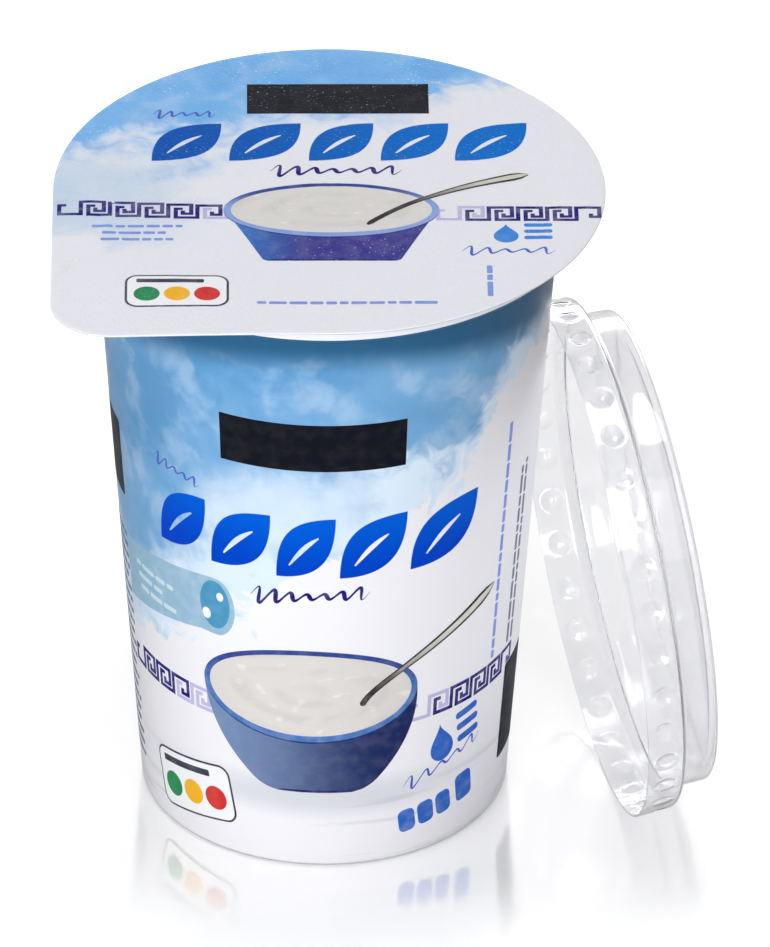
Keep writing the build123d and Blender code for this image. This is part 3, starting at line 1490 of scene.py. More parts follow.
@dataclass
class Overcap:
    """Clear dished cap with grip dents round its skirt, leaning where the CAD node leans."""

    node: Object
    wall: float = 0.45 * MM
    rim_radius: float = 47.5 * MM
    skirt_radius: float = 46.95 * MM
    skirt_height: float = 6.9 * MM
    shoulder_rise: float = 1.1 * MM
    shoulder_width: float = 3.4 * MM
    crown_taper: float = 0.25 * MM
    depth: float = 14.0 * MM
    panel_border: float = 2.6 * MM
    panel_drop: float = 0.9 * MM
    panel_slope: float = 0.6 * MM
    skirt_round: float = 1.2 * MM
    crown_round: float = 0.9 * MM
    inner_round: float = 0.3 * MM
    dent_count: int = 36
    dent_half: float = 2.1 * MM
    dent_depth: float = 0.8 * MM
    dent_height: float = 3.4 * MM
    segments: int = 720
    skirt_rows: int = 24
    bend_rows: int = 5
    most_rows: int = 8
    row_step: float = 1.5 * MM

    def seat(self) -> Matrix:
        """Placement of the cap's own frame, found from the node's mesh: rim on z = 0, closed side up."""
        panel = max(self.node.data.polygons, key=lambda face: face.area)
        closed_way = panel.normal.normalized()
        if closed_way.x < 0:
            closed_way = -closed_way
        upward = (Vector((0, 0, 1)) - closed_way * closed_way.z).normalized()
        turn = Matrix((upward, closed_way.cross(upward), closed_way))
        local = [turn @ v.co for v in self.node.data.vertices]
        low = min(p.z for p in local)
        rim = [p for p in local if p.z < low + 0.05 * MM]
        centre = [(max(p[i] for p in rim) + min(p[i] for p in rim)) / 2 for i in range(2)]
        seat = turn.transposed().to_4x4()
        seat.translation = turn.transposed() @ Vector((*centre, low))
        return seat

    def section(self, inset: float) -> Outline:
        """Section of one face of the plastic, from the rim to the axis.

        Args:
            inset: Distance into the plastic, none for the outside.

        Returns:
            Radius and height of its points.
        """
        foot = self.skirt_radius - self.shoulder_width
        crown = foot - self.crown_taper
        panel = crown - self.panel_border - self.panel_slope
        shoulder = self.skirt_height + self.shoulder_rise
        floor = self.depth - self.panel_drop
        corners = [
            (self.rim_radius - inset, 0.0, 0.0),
            (self.skirt_radius - inset, self.skirt_height - inset, self.skirt_round - inset),
            (foot - inset, shoulder - inset, self.inner_round + inset),
            (crown - inset, self.depth - inset, self.crown_round - inset),
            (panel + self.panel_slope + inset, self.depth - inset, self.inner_round),
            (panel + inset, floor - inset, self.inner_round),
            (0.0, floor - inset, 0.0),
        ]
        line = Mesher.rounded(corners, self.bend_rows)
        dense = []
        for before, here in zip(line, line[1:]):
            length = math.dist(before, here)
            rows = max(1, min(self.most_rows, round(length / self.row_step)))
            if before[1] == 0.0:
                rows = self.skirt_rows
            dense += [Mesher.between(before, here, i / rows) for i in range(rows)]
        return dense + [line[-1]]

    def dented(self, radius: float, height: float, turn: float) -> float:
        """Radius of the skirt after its dents, at a height and a turn in radians."""
        pitch = 2 * math.pi / self.dent_count
        off = (turn + pitch / 2) % pitch - pitch / 2
        away = math.hypot(off * self.rim_radius, height - self.dent_height) / self.dent_half
        if away >= 1:
            return radius
        return radius - self.dent_depth * (1 - away * away)

    def build(self, effects: Effects) -> Object:
        """Builds the closed thin shell in place.

        Args:
            effects: Shared node groups.

        Returns:
            The cap.
        """
        seat = self.seat()

        def place(radius: float, height: float, turn: float) -> Vector:
            """Point of the cap's skin, pressed in at the dents."""
            reach = self.dented(radius, height, turn) if height < self.skirt_height else radius
            return seat @ Vector((reach * math.cos(turn), reach * math.sin(turn), height))

        section = self.section(0.0) + self.section(self.wall)[::-1]
        points, faces = Turning(section, self.segments, place, closed=True).build()
        cap = Mesher.piece("overcap_shell", points, faces, [ClearPlasticFinish().build(effects)])
        cap.data.set_sharp_from_angle(angle=math.radians(60))
        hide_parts("overcap")
        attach(cap, "root")
        return cap


@dataclass
class PrintJob:
    """Lays inks on one surface and rides them on the part."""

    sheet: PrintSheet
    effects: Effects
    slot: str
    laid: list[Object] = field(default_factory=list)

    def ink(
        self, finish: InkFinish | YogurtInkFinish, patches: list[Patch], lift: float = INK_LIFT
    ) -> None:
        """Lays patches of one ink.

        Args:
            finish: The ink, whose name is also the piece's.
            patches: Its shapes.
            lift: Height of the ink's top over the surface.
        """
        piece = Mesher.print_layer(finish.name, patches, self.sheet, finish.build(self.effects), lift)
        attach(piece, "root")
        self.laid.append(piece)


@dataclass
class KeyBand:
    """Band of a plain Greek key pattern."""

    pitch: float = 5.15
    height: float = 4.9
    half_line: float = 0.38

    def unit(self, left: float, low: float) -> Patch:
        """One hook of the pattern.

        Args:
            left: Where its upright stands.
            low: Foot of the band.

        Returns:
            The hook.
        """
        p, h, t = self.pitch, self.height, self.half_line
        line = [
            (-0.50 * p, 0.69 * h),
            (-0.74 * p, 0.69 * h),
            (-0.74 * p, t),
            (0.0, t),
            (0.0, h - t),
            (0.79 * p, h - t),
            (0.79 * p, 0.29 * h),
            (0.50 * p, 0.29 * h),
            (0.50 * p, 0.50 * h),
        ]
        return Patch([(left + x, low + y) for x, y in Shapes.ribbon(line, t)])

    def run(self, start: float, end: float, low: float, rise: float = 0.0) -> list[Patch]:
        """Hooks from a start to an end.

        Args:
            start: Left end of the band.
            end: Right end.
            low: Foot of the band at its left end.
            rise: Rise of the band for each millimetre.

        Returns:
            The hooks.
        """
        count = max(1, round((end - start) / self.pitch))
        spots = [start + 0.72 * self.pitch + i * self.pitch for i in range(count)]
        return [self.unit(x, low + rise * (x - start)) for x in spots]


@dataclass
class BowlPicture:
    """Plain picture of a blue bowl of yogurt with a spoon in it."""

    centre: Point
    half_width: float
    half_height: float
    base_low: float
    base_half: float
    base_shift: float
    side_power: float
    foot_round: float
    rim_width: float
    spoon_tip: Point
    spoon_cross: Point
    spoon_foot: Point
    spoon_half: float

    def rim(self, inset: float) -> Outline:
        """Ellipse of the rim, drawn in by an inset."""
        x, y = self.centre
        return Shapes.oval(x, y, self.half_width - inset, self.half_height - inset * 0.8, 96)

    def body(self) -> Patch:
        """Side of the bowl under the front of its rim."""
        x, y = self.centre
        count = 40
        inset = self.rim_width * 0.45
        reach_x, reach_y = self.half_width - inset, self.half_height - inset
        turns = [math.pi + math.pi * i / count for i in range(count + 1)]
        front = [(x + reach_x * math.cos(t), y + reach_y * math.sin(t)) for t in turns]
        depth = y - self.base_low
        side = []
        for i in range(1, count + 1):
            share = i / count
            half = self.half_width + (self.base_half - self.half_width) * share ** self.side_power
            near = max(0.0, (share - 1) * depth + self.foot_round) / self.foot_round
            half -= self.foot_round * (1 - math.sqrt(1 - near * near))
            side.append((half, y - depth * share, self.base_shift * share))
        right = [(x + half + shift, low) for half, low, shift in side]
        left = [(x - half + shift, low) for half, low, shift in side]
        return Patch(left + right[::-1] + front[::-1])

    def lay(self, job: PrintJob, inks: "BowlInks") -> None:
        """Lays the bowl, its yogurt and its spoon.

        Args:
            job: Surface to print on.
            inks: Finishes to print with.
        """
        job.ink(inks.body, [self.body()])
        job.ink(inks.foot, [self.foot(), self.under_lip()], 0.05 * MM)
        job.ink(inks.rim_back, [Patch(self.rim(0.0), [self.rim(self.rim_width)[::-1]])], 0.045 * MM)
        job.ink(inks.rim_front, [self.rim_front()], 0.055 * MM)
        job.ink(inks.yogurt, [Patch(self.rim(self.rim_width * 0.9))])
        job.ink(inks.spoon_edge, [self.spoon(1.0)], 0.065 * MM)
        job.ink(inks.spoon, [self.spoon(0.55)], 0.085 * MM)

    def foot(self) -> Patch:
        """Dark line round the bowl's foot."""
        x = self.centre[0] + self.base_shift
        reach = self.base_half - self.foot_round
        sides = [2 * i / 30 - 1 for i in range(31)]
        line = [(x + reach * side, self.base_low + 0.3) for side in sides]
        return Patch(Shapes.ribbon(line, [0.04 + 0.22 * math.sqrt(1 - side * side) for side in sides]))

    def under_lip(self) -> Patch:
        """Dark line along the underside of the rim's front."""
        x, y = self.centre
        line, halves, count = [], [], 48
        for i in range(count + 1):
            t = i / count
            turn = math.pi * (1.04 + 0.92 * t)
            low = y + (self.half_height + 0.1) * math.sin(turn)
            line.append((x + self.half_width * math.cos(turn), low))
            halves.append(0.04 + 0.16 * math.sin(math.pi * t))
        return Patch(Shapes.ribbon(line, halves))

    def rim_front(self) -> Patch:
        """Lighter lip along the front half of the rim."""
        x, y = self.centre
        outer, inner, count = [], [], 60
        for i in range(count + 1):
            t = i / count
            turn = math.pi * (0.93 + 1.14 * t)
            width = self.rim_width * 1.05 * math.sin(math.pi * t) ** 0.35
            outer.append((x + self.half_width * math.cos(turn), y + self.half_height * math.sin(turn)))
            reach_x, reach_y = self.half_width - width, self.half_height - width
            inner.append((x + reach_x * math.cos(turn), y + reach_y * math.sin(turn)))
        return Patch(outer + inner[-2:0:-1])

    def spoon(self, share: float) -> Patch:
        """Spoon's handle and neck, from its round tip to where it dips in.

        Args:
            share: Share of its full width.

        Returns:
            The spoon.
        """
        tip, cross, foot = (Vector(p) for p in (self.spoon_tip, self.spoon_cross, self.spoon_foot))
        line, halves, count = [], [], 28
        for i in range(count + 1):
            t = i / count
            bow = cross + (cross - (tip + foot) / 2) * 0.9
            spot = tip * (1 - t) ** 2 + bow * 2 * t * (1 - t) + foot * t * t
            line.append(tuple(spot))
            handle = max(0.0, 1 - t / 0.55)
            end = math.sqrt(max(0.02, min(1.0, t / 0.06)))
            halves.append(self.spoon_half * share * end * (0.42 + 0.58 * handle ** 1.2))
        halves[-1] *= 0.5
        return Patch(Shapes.ribbon(line, halves))


@dataclass(frozen=True)
class BowlInks:
    """Finishes of a bowl picture."""

    body: InkFinish
    foot: InkFinish
    rim_back: InkFinish
    rim_front: InkFinish
    yogurt: YogurtInkFinish
    spoon_edge: InkFinish
    spoon: InkFinish


def fine_print(left: float, right: float, rows: list[float], height: float, seed: int) -> list[Patch]:
    """Rows of short bars that stand for small print.

    Args:
        left: Left side of the block.
        right: Right side.
        rows: Foot of each row.
        height: Height of the bars.
        seed: Seed of their lengths.

    Returns:
        The bars.
    """
    draw = np.random.default_rng(seed)
    bars = []
    for low in rows:
        at = left
        while at < right - height:
            length = float(draw.uniform(1.6, 5.2)) * height
            end = min(at + length, right)
            bars.append(Patch(Shapes.round_box(at, end, low, low + height, min(height, end - at) * 0.3)))
            at = end + height * 0.55
    return bars


def stood(patches: list[Patch], side: float) -> list[Patch]:
    """Small print turned a quarter anticlockwise and moved to a side."""
    outlines = [Shapes.turned(patch.outline, 90, (0.0, 0.0)) for patch in patches]
    return [Patch([(x + side, y) for x, y in outline]) for outline in outlines]


@dataclass
class WallPrint:
    """Everything printed on the tub's wall over the painted ground."""

    job: PrintJob
    key: KeyBand = field(default_factory=KeyBand)
    label: tuple[float, float, float, float] = (-18.2, 13.7, 88.0, 98.0)
    leaf_spans: tuple[Point, ...] = ((-32.8, -21.8), (-21.0, -9.5), (-8.6, 1.8), (2.6, 14.4), (15.4, 28.9))
    leaf_low: float = 64.6
    leaf_high: float = 77.6
    key_low: float = 30.2
    key_reach: float = 46.4
    yogurt_at: Triple = (-0.003, -0.036, 0.038)
    yogurt_size: Triple = (0.0085, 0.03, 0.0042)
    low_foot: float = 5.4
    low_bars: tuple[Triple, ...] = (
        (16.4, 20.0, 5.0),
        (20.7, 24.3, 5.0),
        (25.0, 28.6, 5.0),
        (30.2, 34.6, 6.2),
    )

    def lay(self) -> None:
        """Lays all of it."""
        self.lay_label()
        self.lay_badge()
        self.lay_key()
        self.lay_bowl()
        lay_dot_panel(self.job, "wall", (-28.7, 11.4), 20.4, 12.4, 9.0)
        self.lay_figures()
        self.lay_sides()

    def lay_label(self) -> None:
        """Bare dark label, a row of bold leaves and two thin flourishes."""
        self.job.ink(InkFinish("wall_label", Swatch.LABEL, mottle=0.008), [Patch(Shapes.box(*self.label))])
        leaves = [Shapes.leaf(a, b, self.leaf_low, self.leaf_high) for a, b in self.leaf_spans]
        bold = (Swatch.BOLD_BLUE, Swatch.BOLD_BLUE_END, Axis.UP, 66 * MM, 78 * MM)
        finish = InkFinish("wall_leaves", *bold, mottle=0.0)
        self.job.ink(finish, [Patch(leaf[0], [leaf[1][::-1]]) for leaf in leaves])
        upper = Shapes.wave((-33.4, 82.0), 10.6, 1.35, 5, 0.24, -1.4)
        self.job.ink(InkFinish("wall_flourish_small", Swatch.SCRIPT_BLUE), [Patch(upper)])
        lower = Shapes.wave((-13.4, 59.6), 21.4, 1.9, 7, 0.42, 1.6)
        self.job.ink(InkFinish("wall_flourish", Swatch.INDIGO), [Patch(lower)])

    def lay_badge(self) -> None:
        """Pale teal badge on the left with bars and a darker disc."""
        right_end = Shapes.oval(-20.6, 54.6, 3.9, 6.2, 32)
        curve = right_end[24:] + right_end[:9]
        outline = [(-47.0, 44.4), (-24.0, 48.6), *curve, (-24.0, 60.6), (-47.0, 57.4)]
        self.job.ink(InkFinish("wall_badge", Swatch.BADGE, mottle=0.12), [Patch(outline)])
        rows = [(-42.6, 53.6, 12.0), (-42.0, 51.2, 8.2), (-41.4, 48.8, 12.0)]
        bars = []
        for left, low, length in rows:
            bars += fine_print(left, left + length, [low], 1.0, int(low))
        self.job.ink(InkFinish("wall_badge_bars", Swatch.BADGE_BAR), bars, 0.055 * MM)
        disc = Patch(Shapes.oval(-20.8, 55.0, 3.1, 5.2))
        self.job.ink(InkFinish("wall_badge_disc", Swatch.BADGE_DEEP), [disc], 0.05 * MM)
        dots = [
            Patch(Shapes.oval(-22.6, 52.6, 0.9, 1.2, 32)),
            Patch(Shapes.oval(-19.6, 57.0, 0.7, 0.95, 32)),
        ]
        self.job.ink(InkFinish("wall_badge_dots", Swatch.PANEL_FIELD), dots, 0.065 * MM)

    def lay_key(self) -> None:
        """Greek key bands on both sides of the bowl, which fade next to it."""
        pitch = self.key.pitch
        left_end, right_start = -self.key_reach + 4 * pitch, 17.0
        left = self.key.run(-self.key_reach, left_end - pitch, self.key_low)
        right = self.key.run(right_start + pitch, right_start + 5 * pitch, self.key_low)
        faded = self.key.run(left_end - pitch, left_end + pitch, self.key_low)
        faded += self.key.run(right_start, right_start + pitch, self.key_low)
        self.job.ink(InkFinish("wall_key", Swatch.INDIGO, mottle=0.1), left + right)
        self.job.ink(InkFinish("wall_key_faded", Swatch.INDIGO_FADED), faded, 0.035 * MM)

    def lay_bowl(self) -> None:
        """Bowl of yogurt with its spoon."""
        picture = BowlPicture(
            centre=(-3.0, 38.2),
            half_width=20.9,
            half_height=10.2,
            base_low=16.6,
            base_half=9.6,
            base_shift=1.2,
            side_power=2.2,
            foot_round=2.4,
            rim_width=1.25,
            spoon_tip=(35.7, 53.4),
            spoon_cross=(14.6, 42.9),
            spoon_foot=(7.0, 35.9),
            spoon_half=1.45,
        )
        dark = Swatch.STEEL_DARK
        bowl = (Swatch.BOWL_LIGHT, Swatch.BOWL_DARK, Axis.RIGHT, -22 * MM, 12 * MM)
        rim = (Swatch.BOWL_RIM, Swatch.BOWL_RIM_DARK, Axis.UP, 36 * MM, 46 * MM)
        steel = (Swatch.STEEL, dark, Axis.UP, 50 * MM, 38 * MM)
        inks = BowlInks(
            body=InkFinish("wall_bowl", *bowl, mottle=0.03),
            foot=InkFinish("wall_bowl_foot", Swatch.BOWL_FOOT),
            rim_back=InkFinish("wall_bowl_rim", *rim),
            rim_front=InkFinish("wall_bowl_lip", Swatch.BOWL_RIM, mottle=0.1),
            yogurt=YogurtInkFinish("wall_yogurt", self.yogurt_at, self.yogurt_size),
            spoon_edge=InkFinish("wall_spoon_edge", dark),
            spoon=InkFinish("wall_spoon", *steel, mottle=0.2),
        )
        picture.lay(self.job, inks)

    def lay_figures(self) -> None:
        """A drop, a flourish and plain bars at the lower right."""
        about = (27.0, 25.0)
        drop = Shapes.drop((23.9, 23.8), 2.7, 8.4)
        bars = [Shapes.round_box(27.8, 33.6, low, low + 1.5, 0.7) for low in (21.2, 23.9, 26.6)]
        shapes = [Patch(Shapes.turned(outline, 9, about)) for outline in (drop, *bars)]
        self.job.ink(InkFinish("wall_figure", Swatch.FIGURE_BLUE), shapes)
        flourish = Shapes.wave((15.8, 15.8), 18.6, 1.8, 5, 0.26, 5.4)
        self.job.ink(InkFinish("wall_flourish_low", Swatch.SCRIPT_BLUE), [Patch(flourish)])
        foot = self.low_foot
        boxes = [Shapes.round_box(a, b, foot, foot + high, 1.2) for a, b, high in self.low_bars]
        bars = [Patch(Shapes.turned(box, 9, (16.4, 0.0))) for box in boxes]
        self.job.ink(InkFinish("wall_figure_low", Swatch.FIGURE_BLUE, mottle=0.1), bars)

    def lay_sides(self) -> None:
        """Small print and dark panels at both sides and round the back."""
        right = stood(fine_print(36.0, 88.0, [0.0], 0.85, 3), 37.6)
        self.job.ink(InkFinish("wall_fine_print", Swatch.FINE_BLUE), right)
        grey = stood(fine_print(36.0, 75.0, [0.0, 1.9], 0.85, 5), 45.6)
        grey += fine_print(-58.0, -47.5, [8 + 2.4 * i for i in range(21)], 0.95, 7)
        grey += fine_print(66.0, 96.0, [28 + 2.6 * i for i in range(20)], 1.0, 11)
        grey += fine_print(-108.0, -70.0, [36 + 2.6 * i for i in range(16)], 1.0, 13)
        self.job.ink(InkFinish("wall_small_print", Swatch.GREY_TEXT), grey)
        panels = [
            Patch(Shapes.round_box(43.4, 54.0, 10.0, 31.0, 0.8)),
            Patch(Shapes.round_box(-57.5, -46.5, 65.5, 81.5, 0.6)),
            Patch(Shapes.round_box(-108.0, -70.0, 84.0, 98.0, 0.8)),
        ]
        self.job.ink(InkFinish("wall_dark_panels", Swatch.DARK_PANEL, mottle=0.04), panels)


def lay_dot_panel(
    job: PrintJob, prefix: str, middle: Point, width: float, height: float, lean: float
) -> None:
    """Outlined white panel with a short dark bar over three round dots.

    Args:
        job: Surface to print on.
        prefix: Start of the pieces' names.
        middle: Middle of the panel.
        width: Its width.
        height: Its height.
        lean: How far it is turned, in degrees.
    """
    # Share of painted glints on foil inks.
    look = {"on_foil": job.slot == "foil", "specks": 0.2}

    def turned(outline: Outline) -> Outline:
        """Outline turned with the panel."""
        return Shapes.turned(outline, lean, middle)

    x, y = middle
    half_x, half_y, line = width / 2, height / 2, 0.42
    frame_outline = Shapes.round_box(x - half_x, x + half_x, y - half_y, y + half_y, 2.4)
    in_x, in_y = half_x - line, half_y - line
    field_outline = Shapes.round_box(x - in_x, x + in_x, y - in_y, y + in_y, 2.0)
    edge = InkFinish(f"{prefix}_panel_edge", Swatch.PANEL_LINE, **look)
    job.ink(edge, [Patch(turned(frame_outline))])
    white = InkFinish(f"{prefix}_panel_field", Swatch.PANEL_FIELD, **(look | {"specks": 0.1}))
    job.ink(white, [Patch(turned(field_outline))], 0.07 * MM)
    bar = Shapes.round_box(x - half_x * 0.78, x + half_x * 0.52, y + half_y * 0.52, y + half_y * 0.74, 0.3)
    dark = InkFinish(f"{prefix}_panel_bar", Swatch.PANEL_LINE, **look)
    job.ink(dark, [Patch(turned(bar))], 0.10 * MM)
    reach = min(width * 0.125, height * 0.27)
    for share, name, swatch in (
        (-0.58, "green", Swatch.DOT_GREEN),
        (0.0, "amber", Swatch.DOT_AMBER),
        (0.58, "red", Swatch.DOT_RED),
    ):
        dot = Shapes.oval(x + half_x * share, y - half_y * 0.20, reach, reach, 48)
        finish = InkFinish(f"{prefix}_panel_dot_{name}", swatch, mottle=0.03, **look)
        job.ink(finish, [Patch(turned(dot))], 0.10 * MM)


@dataclass
class LidPrint:
    """Everything printed on the foil over the painted ground."""

    job: PrintJob
    key: KeyBand = field(default_factory=KeyBand)
    label: tuple[float, float, float, float] = (-14.6, 18.0, 26.0, 36.3)
    leaf_spans: tuple[Point, ...] = ((-31.6, -19.2), (-17.8, -5.0), (-3.6, 8.0), (9.2, 21.4), (22.4, 35.4))
    leaf_low: float = 9.6
    leaf_high: float = 22.5
    yogurt_at: Triple = (0.001, -0.008, 0.1227)
    yogurt_size: Triple = (0.008, 0.004, 0.03)

    def finish(self, name: str, first: Swatch, *shading: object, **rest: object) -> InkFinish:
        """Ink that shows the foil's grain and its painted glints."""
        return InkFinish(name, first, *shading, on_foil=True, **rest)

    def ink(
        self, name: str, first: Swatch, patches: list[Patch], lift: float = INK_LIFT, **rest: object
    ) -> None:
        """Lays one ink on the foil."""
        self.job.ink(self.finish(name, first, **rest), patches, lift)

    def lay(self) -> None:
        """Lays all of it."""
        self.ink("lid_label", Swatch.LABEL, [Patch(Shapes.box(*self.label))], mottle=0.008, specks=0.35)
        leaves = [Shapes.leaf(a, b, self.leaf_low, self.leaf_high) for a, b in self.leaf_spans]
        bold = (Swatch.LID_BOLD_BLUE, Swatch.LID_BOLD_BLUE_END, Axis.RIGHT, -30 * MM, 30 * MM)
        finish = self.finish("lid_leaves", *bold, mottle=0.0, specks=0.3)
        self.job.ink(finish, [Patch(leaf[0], [leaf[1][::-1]]) for leaf in leaves])
        upper = Shapes.wave((-31.4, 25.6), 11.2, 1.5, 5, 0.26, 0.4)
        self.ink("lid_flourish_small", Swatch.SCRIPT_BLUE, [Patch(upper)])
        lower = Shapes.wave((-10.5, 5.9), 23.4, 1.9, 7, 0.44, 0.4)
        self.ink("lid_flourish", Swatch.INDIGO, [Patch(lower)])
        self.lay_key()
        self.lay_bowl()
        lay_dot_panel(self.job, "lid", (-26.9, -34.8), 18.2, 10.4, 0.0)
        self.lay_figures()

    def lay_key(self) -> None:
        """Greek key bands on both sides of the bowl, which fade next to it."""
        pitch = self.key.pitch
        left = self.key.run(-47.7, -47.7 + 5 * pitch, -9.1, -0.055)
        right = self.key.run(24.4, 24.4 + 4 * pitch, -11.1, -0.01)
        faded = self.key.run(-21.95, -21.95 + pitch, -10.5) + self.key.run(19.25, 19.25 + pitch, -11.0)
        self.ink("lid_key", Swatch.INDIGO, left + right, mottle=0.12, specks=0.3)
        self.ink("lid_key_faded", Swatch.INDIGO_FADED, faded, 0.035 * MM)

    def lay_bowl(self) -> None:
        """Bowl of yogurt with its spoon."""
        picture = BowlPicture(
            centre=(0.3, -7.4),
            half_width=19.1,
            half_height=9.1,
            base_low=-24.6,
            base_half=12.0,
            base_shift=0.0,
            side_power=0.92,
            foot_round=0.7,
            rim_width=1.3,
            spoon_tip=(35.3, 4.8),
            spoon_cross=(18.0, -2.6),
            spoon_foot=(6.6, -12.4),
            spoon_half=1.3,
        )
        dark, side, up = Swatch.STEEL_DARK, Axis.RIGHT, Axis.BACK
        bowl = (Swatch.LID_BOWL_LIGHT, Swatch.LID_BOWL_DARK, side, -18 * MM, -2 * MM)
        rim = (Swatch.LID_RIM, Swatch.BOWL_RIM_DARK, up, -6 * MM, 0.0)
        steel = (Swatch.STEEL, dark, side, 30 * MM, 12 * MM)
        inks = BowlInks(
            body=self.finish("lid_bowl", *bowl, specks=0.6),
            foot=self.finish("lid_bowl_foot", Swatch.BOWL_FOOT, specks=0.6),
            rim_back=self.finish("lid_bowl_rim", *rim, specks=0.3),
            rim_front=self.finish("lid_bowl_lip", Swatch.LID_RIM, specks=0.2, mottle=0.1),
            yogurt=YogurtInkFinish("lid_yogurt", self.yogurt_at, self.yogurt_size, on_foil=True),
            spoon_edge=self.finish("lid_spoon_edge", dark, specks=0.2),
            spoon=self.finish("lid_spoon", *steel, specks=0.2),
        )
        picture.lay(self.job, inks)

    def lay_figures(self) -> None:
        """Plain shapes and small print on the front half."""
        drop = Shapes.drop((31.0, -15.4), 2.2, 6.2)
        bars = [Shapes.round_box(34.2, 39.2, low, low + 1.1, 0.5) for low in (-17.4, -15.3, -13.2)]
        self.ink("lid_figure", Swatch.FIGURE_LIGHT, [Patch(outline) for outline in (drop, *bars)])
        flourish = Shapes.wave((23.2, -21.4), 16.4, 1.6, 5, 0.28, 0.2)
        self.ink("lid_flourish_low", Swatch.SCRIPT_BLUE, [Patch(flourish)])
        rows = fine_print(-42.0, -26.0, [-13.4], 0.8, 17)
        rows += fine_print(-40.2, -28.4, [-15.6], 0.8, 19)
        rows += fine_print(-40.4, -27.6, [-17.8], 0.8, 23)
        rows += fine_print(-12.9, 18.7, [-39.2], 0.9, 29)
        rows += stood(fine_print(-36.7, -26.3, [0.0], 1.0, 31), 28.4)
        self.ink("lid_fine_print", Swatch.FINE_BLUE, rows, specks=0.2)


@dataclass(frozen=True)
class SoftBox:
    """A soft box lamp: where it hangs, the point that it faces, its width and height, and its watts."""

    name: str
    at: Triple
    aim: Triple
    size: Point
    power: float

    def hang(self) -> None:
        """Adds the lamp to the scene."""
        data = bpy.data.lights.new(self.name, "AREA")
        data.shape = "RECTANGLE"
        data.size, data.size_y = self.size
        data.energy = self.power
        lamp = bpy.data.objects.new(self.name, data)
        lamp.location = self.at
        way = Vector(self.aim) - Vector(self.at)
        lamp.rotation_euler = way.to_track_quat("-Z", "Y").to_euler()
        bpy.context.scene.collection.objects.link(lamp)


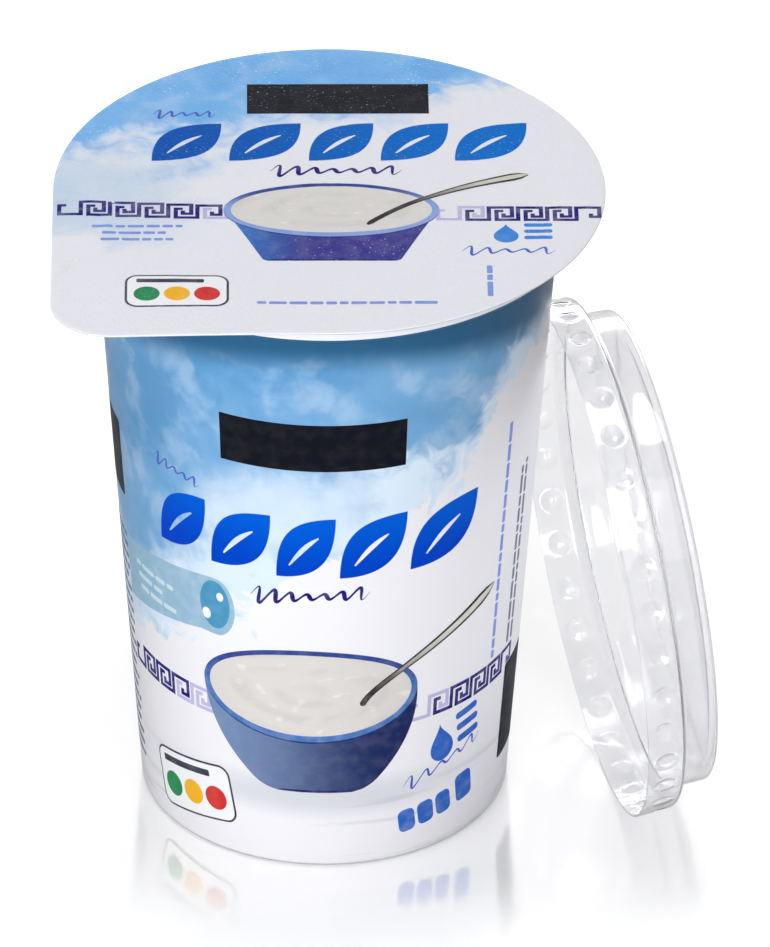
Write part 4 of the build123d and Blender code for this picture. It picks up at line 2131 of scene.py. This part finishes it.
@dataclass
class Studio:
    """Floor, world, lamps and camera."""

    boxes: tuple[SoftBox, ...] = (
        SoftBox("top_box", (-0.08, 0.12, 1.25), (0.0, 0.0, 0.10), (0.7, 0.8), 6.2),
        SoftBox("front_box", (-0.40, -1.34, 0.45), (0.0, 0.0, 0.06), (1.4, 0.8), 20.0),
        SoftBox("left_box", (-1.05, -0.80, 0.55), (0.0, 0.0, 0.06), (0.6, 0.8), 1.4),
        SoftBox("right_box", (0.55, -0.80, 0.98), (0.05, 0.0, 0.05), (0.7, 0.9), 1.4),
        SoftBox("back_box", (0.10, 1.35, 0.24), (0.0, 0.0, 0.06), (1.4, 0.4), 6.0),
    )
    floor_half: float = 3.0
    floor_cells: int = 12
    floor_dark: Colour = (0.90, 0.90, 0.90)
    floor_light: Colour = (0.92, 0.92, 0.92)
    floor_glow: float = 0.22
    floor_glow_far: float = 0.60
    glow_near: float = 0.04
    glow_far: float = 0.30
    sheen: float = 0.44
    sheen_roughness: float = 0.11
    sheen_middle: Triple = (0.02, 0.0, 0.0)
    sheen_shape: Triple = (0.55, 1.0, 1.0)
    sheen_full: float = 34 * MM
    sheen_gone: float = 62 * MM
    bounce: float = 0.4
    mirror_dim: float = 0.7
    through_dim: float = 0.08
    fill: float = 0.34
    side_loss: float = 0.30
    camera_at: Triple = (0.0, -1.74721, 1.17254)
    yaw: float = 0.006135
    pitch: float = 0.565867
    roll: float = -0.007401
    lens: float = 436.97
    sensor: float = 36.0

    def build(self) -> None:
        """Builds all of it."""
        self.build_floor()
        self.build_world()
        self.build_lamps()
        self.build_camera()
        bpy.context.scene.view_settings.view_transform = "Standard"

    def build_floor(self) -> None:
        """Pale floor with a soft sheen that mirrors the foot of the pot."""
        half, cells = self.floor_half, self.floor_cells
        marks = [(i / cells * 2 - 1) * half for i in range(cells + 1)]
        points = [(x, y, 0.0) for y in marks for x in marks]
        starts = [row * (cells + 1) + column for row in range(cells) for column in range(cells)]
        faces = [[a, a + 1, a + cells + 2, a + cells + 1] for a in starts]
        base = Base("floor_pale")
        w = base.wires
        tone = w.noise(w.position(), 3.0)
        base.set(Base_Color=w.mix(tone, self.floor_dark, self.floor_light), Roughness=0.6)
        away = w.smooth(w.vector("LENGTH", w.position()), self.glow_near, self.glow_far)
        glow = w.math("MULTIPLY_ADD", away, self.floor_glow_far - self.floor_glow, self.floor_glow)
        base.set(Emission_Color=(1.0, 1.0, 1.0), Emission_Strength=glow)
        sheen = w.node("ShaderNodeBsdfGlossy")
        sheen.inputs["Roughness"].default_value = self.sheen_roughness
        sheen.inputs["Color"].default_value = (1.0, 1.0, 1.0, 1.0)
        seen = w.node("ShaderNodeMixShader")
        spot = w.vector("SUBTRACT", w.position(), self.sheen_middle)
        spot = w.vector("MULTIPLY", spot, self.sheen_shape)
        fade = w.smooth(w.vector("LENGTH", spot), self.sheen_gone, self.sheen_full)
        w.feed(seen.inputs[0], w.math("MULTIPLY", fade, self.sheen))
        w.feed(seen.inputs[1], base.shader.outputs["BSDF"])
        w.feed(seen.inputs[2], sheen.outputs["BSDF"])
        dim = w.node("ShaderNodeBsdfDiffuse")
        dim.inputs["Color"].default_value = (self.bounce, self.bounce, self.bounce, 1.0)
        light = w.node("ShaderNodeLightPath")
        pick = w.node("ShaderNodeMixShader")
        through = light.outputs["Is Transmission Ray"]
        amount = w.math("MULTIPLY_ADD", through, self.through_dim - self.mirror_dim, self.mirror_dim)
        glossy = w.math("MULTIPLY", light.outputs["Is Glossy Ray"], amount)
        w.feed(pick.inputs[0], w.math("MAXIMUM", light.outputs["Is Diffuse Ray"], glossy))
        w.feed(pick.inputs[1], seen.outputs["Shader"])
        w.feed(pick.inputs[2], dim.outputs["BSDF"])
        w.feed(base.output.inputs["Surface"], pick.outputs["Shader"])
        floor = Mesher.piece("floor", points, faces, [base.material])

    def build_world(self) -> None:
        """World that lights softly and shows white to the camera, in gloss and through the cap."""
        world = bpy.data.worlds.new("studio_world")
        world.use_nodes = True
        world.node_tree.nodes.clear()
        w = Wiring(world.node_tree)
        light = w.node("ShaderNodeLightPath")
        soft = w.node("ShaderNodeBackground")
        soft.inputs["Color"].default_value = (1.0, 1.0, 1.0, 1.0)
        split = w.node("ShaderNodeSeparateXYZ")
        w.feed(split.inputs[0], w.node("ShaderNodeTexCoord").outputs["Generated"])
        side = w.math("ABSOLUTE", split.outputs["X"])
        w.feed(soft.inputs["Strength"], w.math("MULTIPLY_ADD", side, -self.side_loss, self.fill))
        white = w.node("ShaderNodeBackground")
        white.inputs["Color"].default_value = (1.0, 1.0, 1.0, 1.0)
        white.inputs["Strength"].default_value = 1.0
        seen = w.math("MAXIMUM", light.outputs["Is Camera Ray"], light.outputs["Is Glossy Ray"])
        seen = w.math("MAXIMUM", seen, light.outputs["Is Transmission Ray"])
        pick = w.node("ShaderNodeMixShader")
        w.feed(pick.inputs[0], seen)
        w.feed(pick.inputs[1], soft.outputs["Background"])
        w.feed(pick.inputs[2], white.outputs["Background"])
        output = w.node("ShaderNodeOutputWorld")
        w.feed(output.inputs["Surface"], pick.outputs["Shader"])
        bpy.context.scene.world = world

    def build_lamps(self) -> None:
        """Hangs the soft boxes."""
        for box in self.boxes:
            box.hang()

    def build_camera(self) -> None:
        """Long lens from above the front."""
        forward = Vector(
            (
                math.sin(self.yaw) * math.cos(self.pitch),
                math.cos(self.yaw) * math.cos(self.pitch),
                -math.sin(self.pitch),
            )
        )
        level = Vector((math.cos(self.yaw), -math.sin(self.yaw), 0.0))
        down = forward.cross(level)
        right = math.cos(self.roll) * level + math.sin(self.roll) * down
        under = -math.sin(self.roll) * level + math.cos(self.roll) * down
        data = bpy.data.cameras.new("camera")
        data.sensor_width = self.sensor
        data.lens = self.lens
        data.clip_start = 0.05
        data.clip_end = 20.0
        camera = bpy.data.objects.new("camera", data)
        turn = Matrix((right, -under, -forward)).transposed().to_4x4()
        turn.translation = Vector(self.camera_at)
        camera.matrix_world = turn
        bpy.context.scene.collection.objects.link(camera)
        bpy.context.scene.camera = camera


def main() -> None:
    """Builds the pot piece by piece and reports each one."""
    logging.basicConfig(level=logging.INFO, format="%(message)s")
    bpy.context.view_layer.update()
    effects = Effects()
    pot_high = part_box("pot")[1]
    foil_low, foil_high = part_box("foil_lid")
    wall = TubWall()
    tub = Tub(wall, rim_radius=pot_high.x, top=pot_high.z).build(effects)
    log.info("tub: %d faces", len(tub.data.polygons))
    foil_lid = FoilLid(foil_low, foil_high)
    foil = foil_lid.build(effects)
    log.info("foil lid: %d faces", len(foil.data.polygons))
    wall_job = PrintJob(wall, effects, "tub")
    WallPrint(wall_job).lay()
    log.info("wall print: %d inks", len(wall_job.laid))
    lid_job = PrintJob(foil_lid, effects, "foil")
    LidPrint(lid_job).lay()
    log.info("lid print: %d inks", len(lid_job.laid))
    cap = Overcap(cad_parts["overcap"]).build(effects)
    log.info("overcap: %d faces", len(cap.data.polygons))
    Studio().build()
    log.info("studio: floor, world, lamps and camera")


if __name__ == "__main__":
    main()
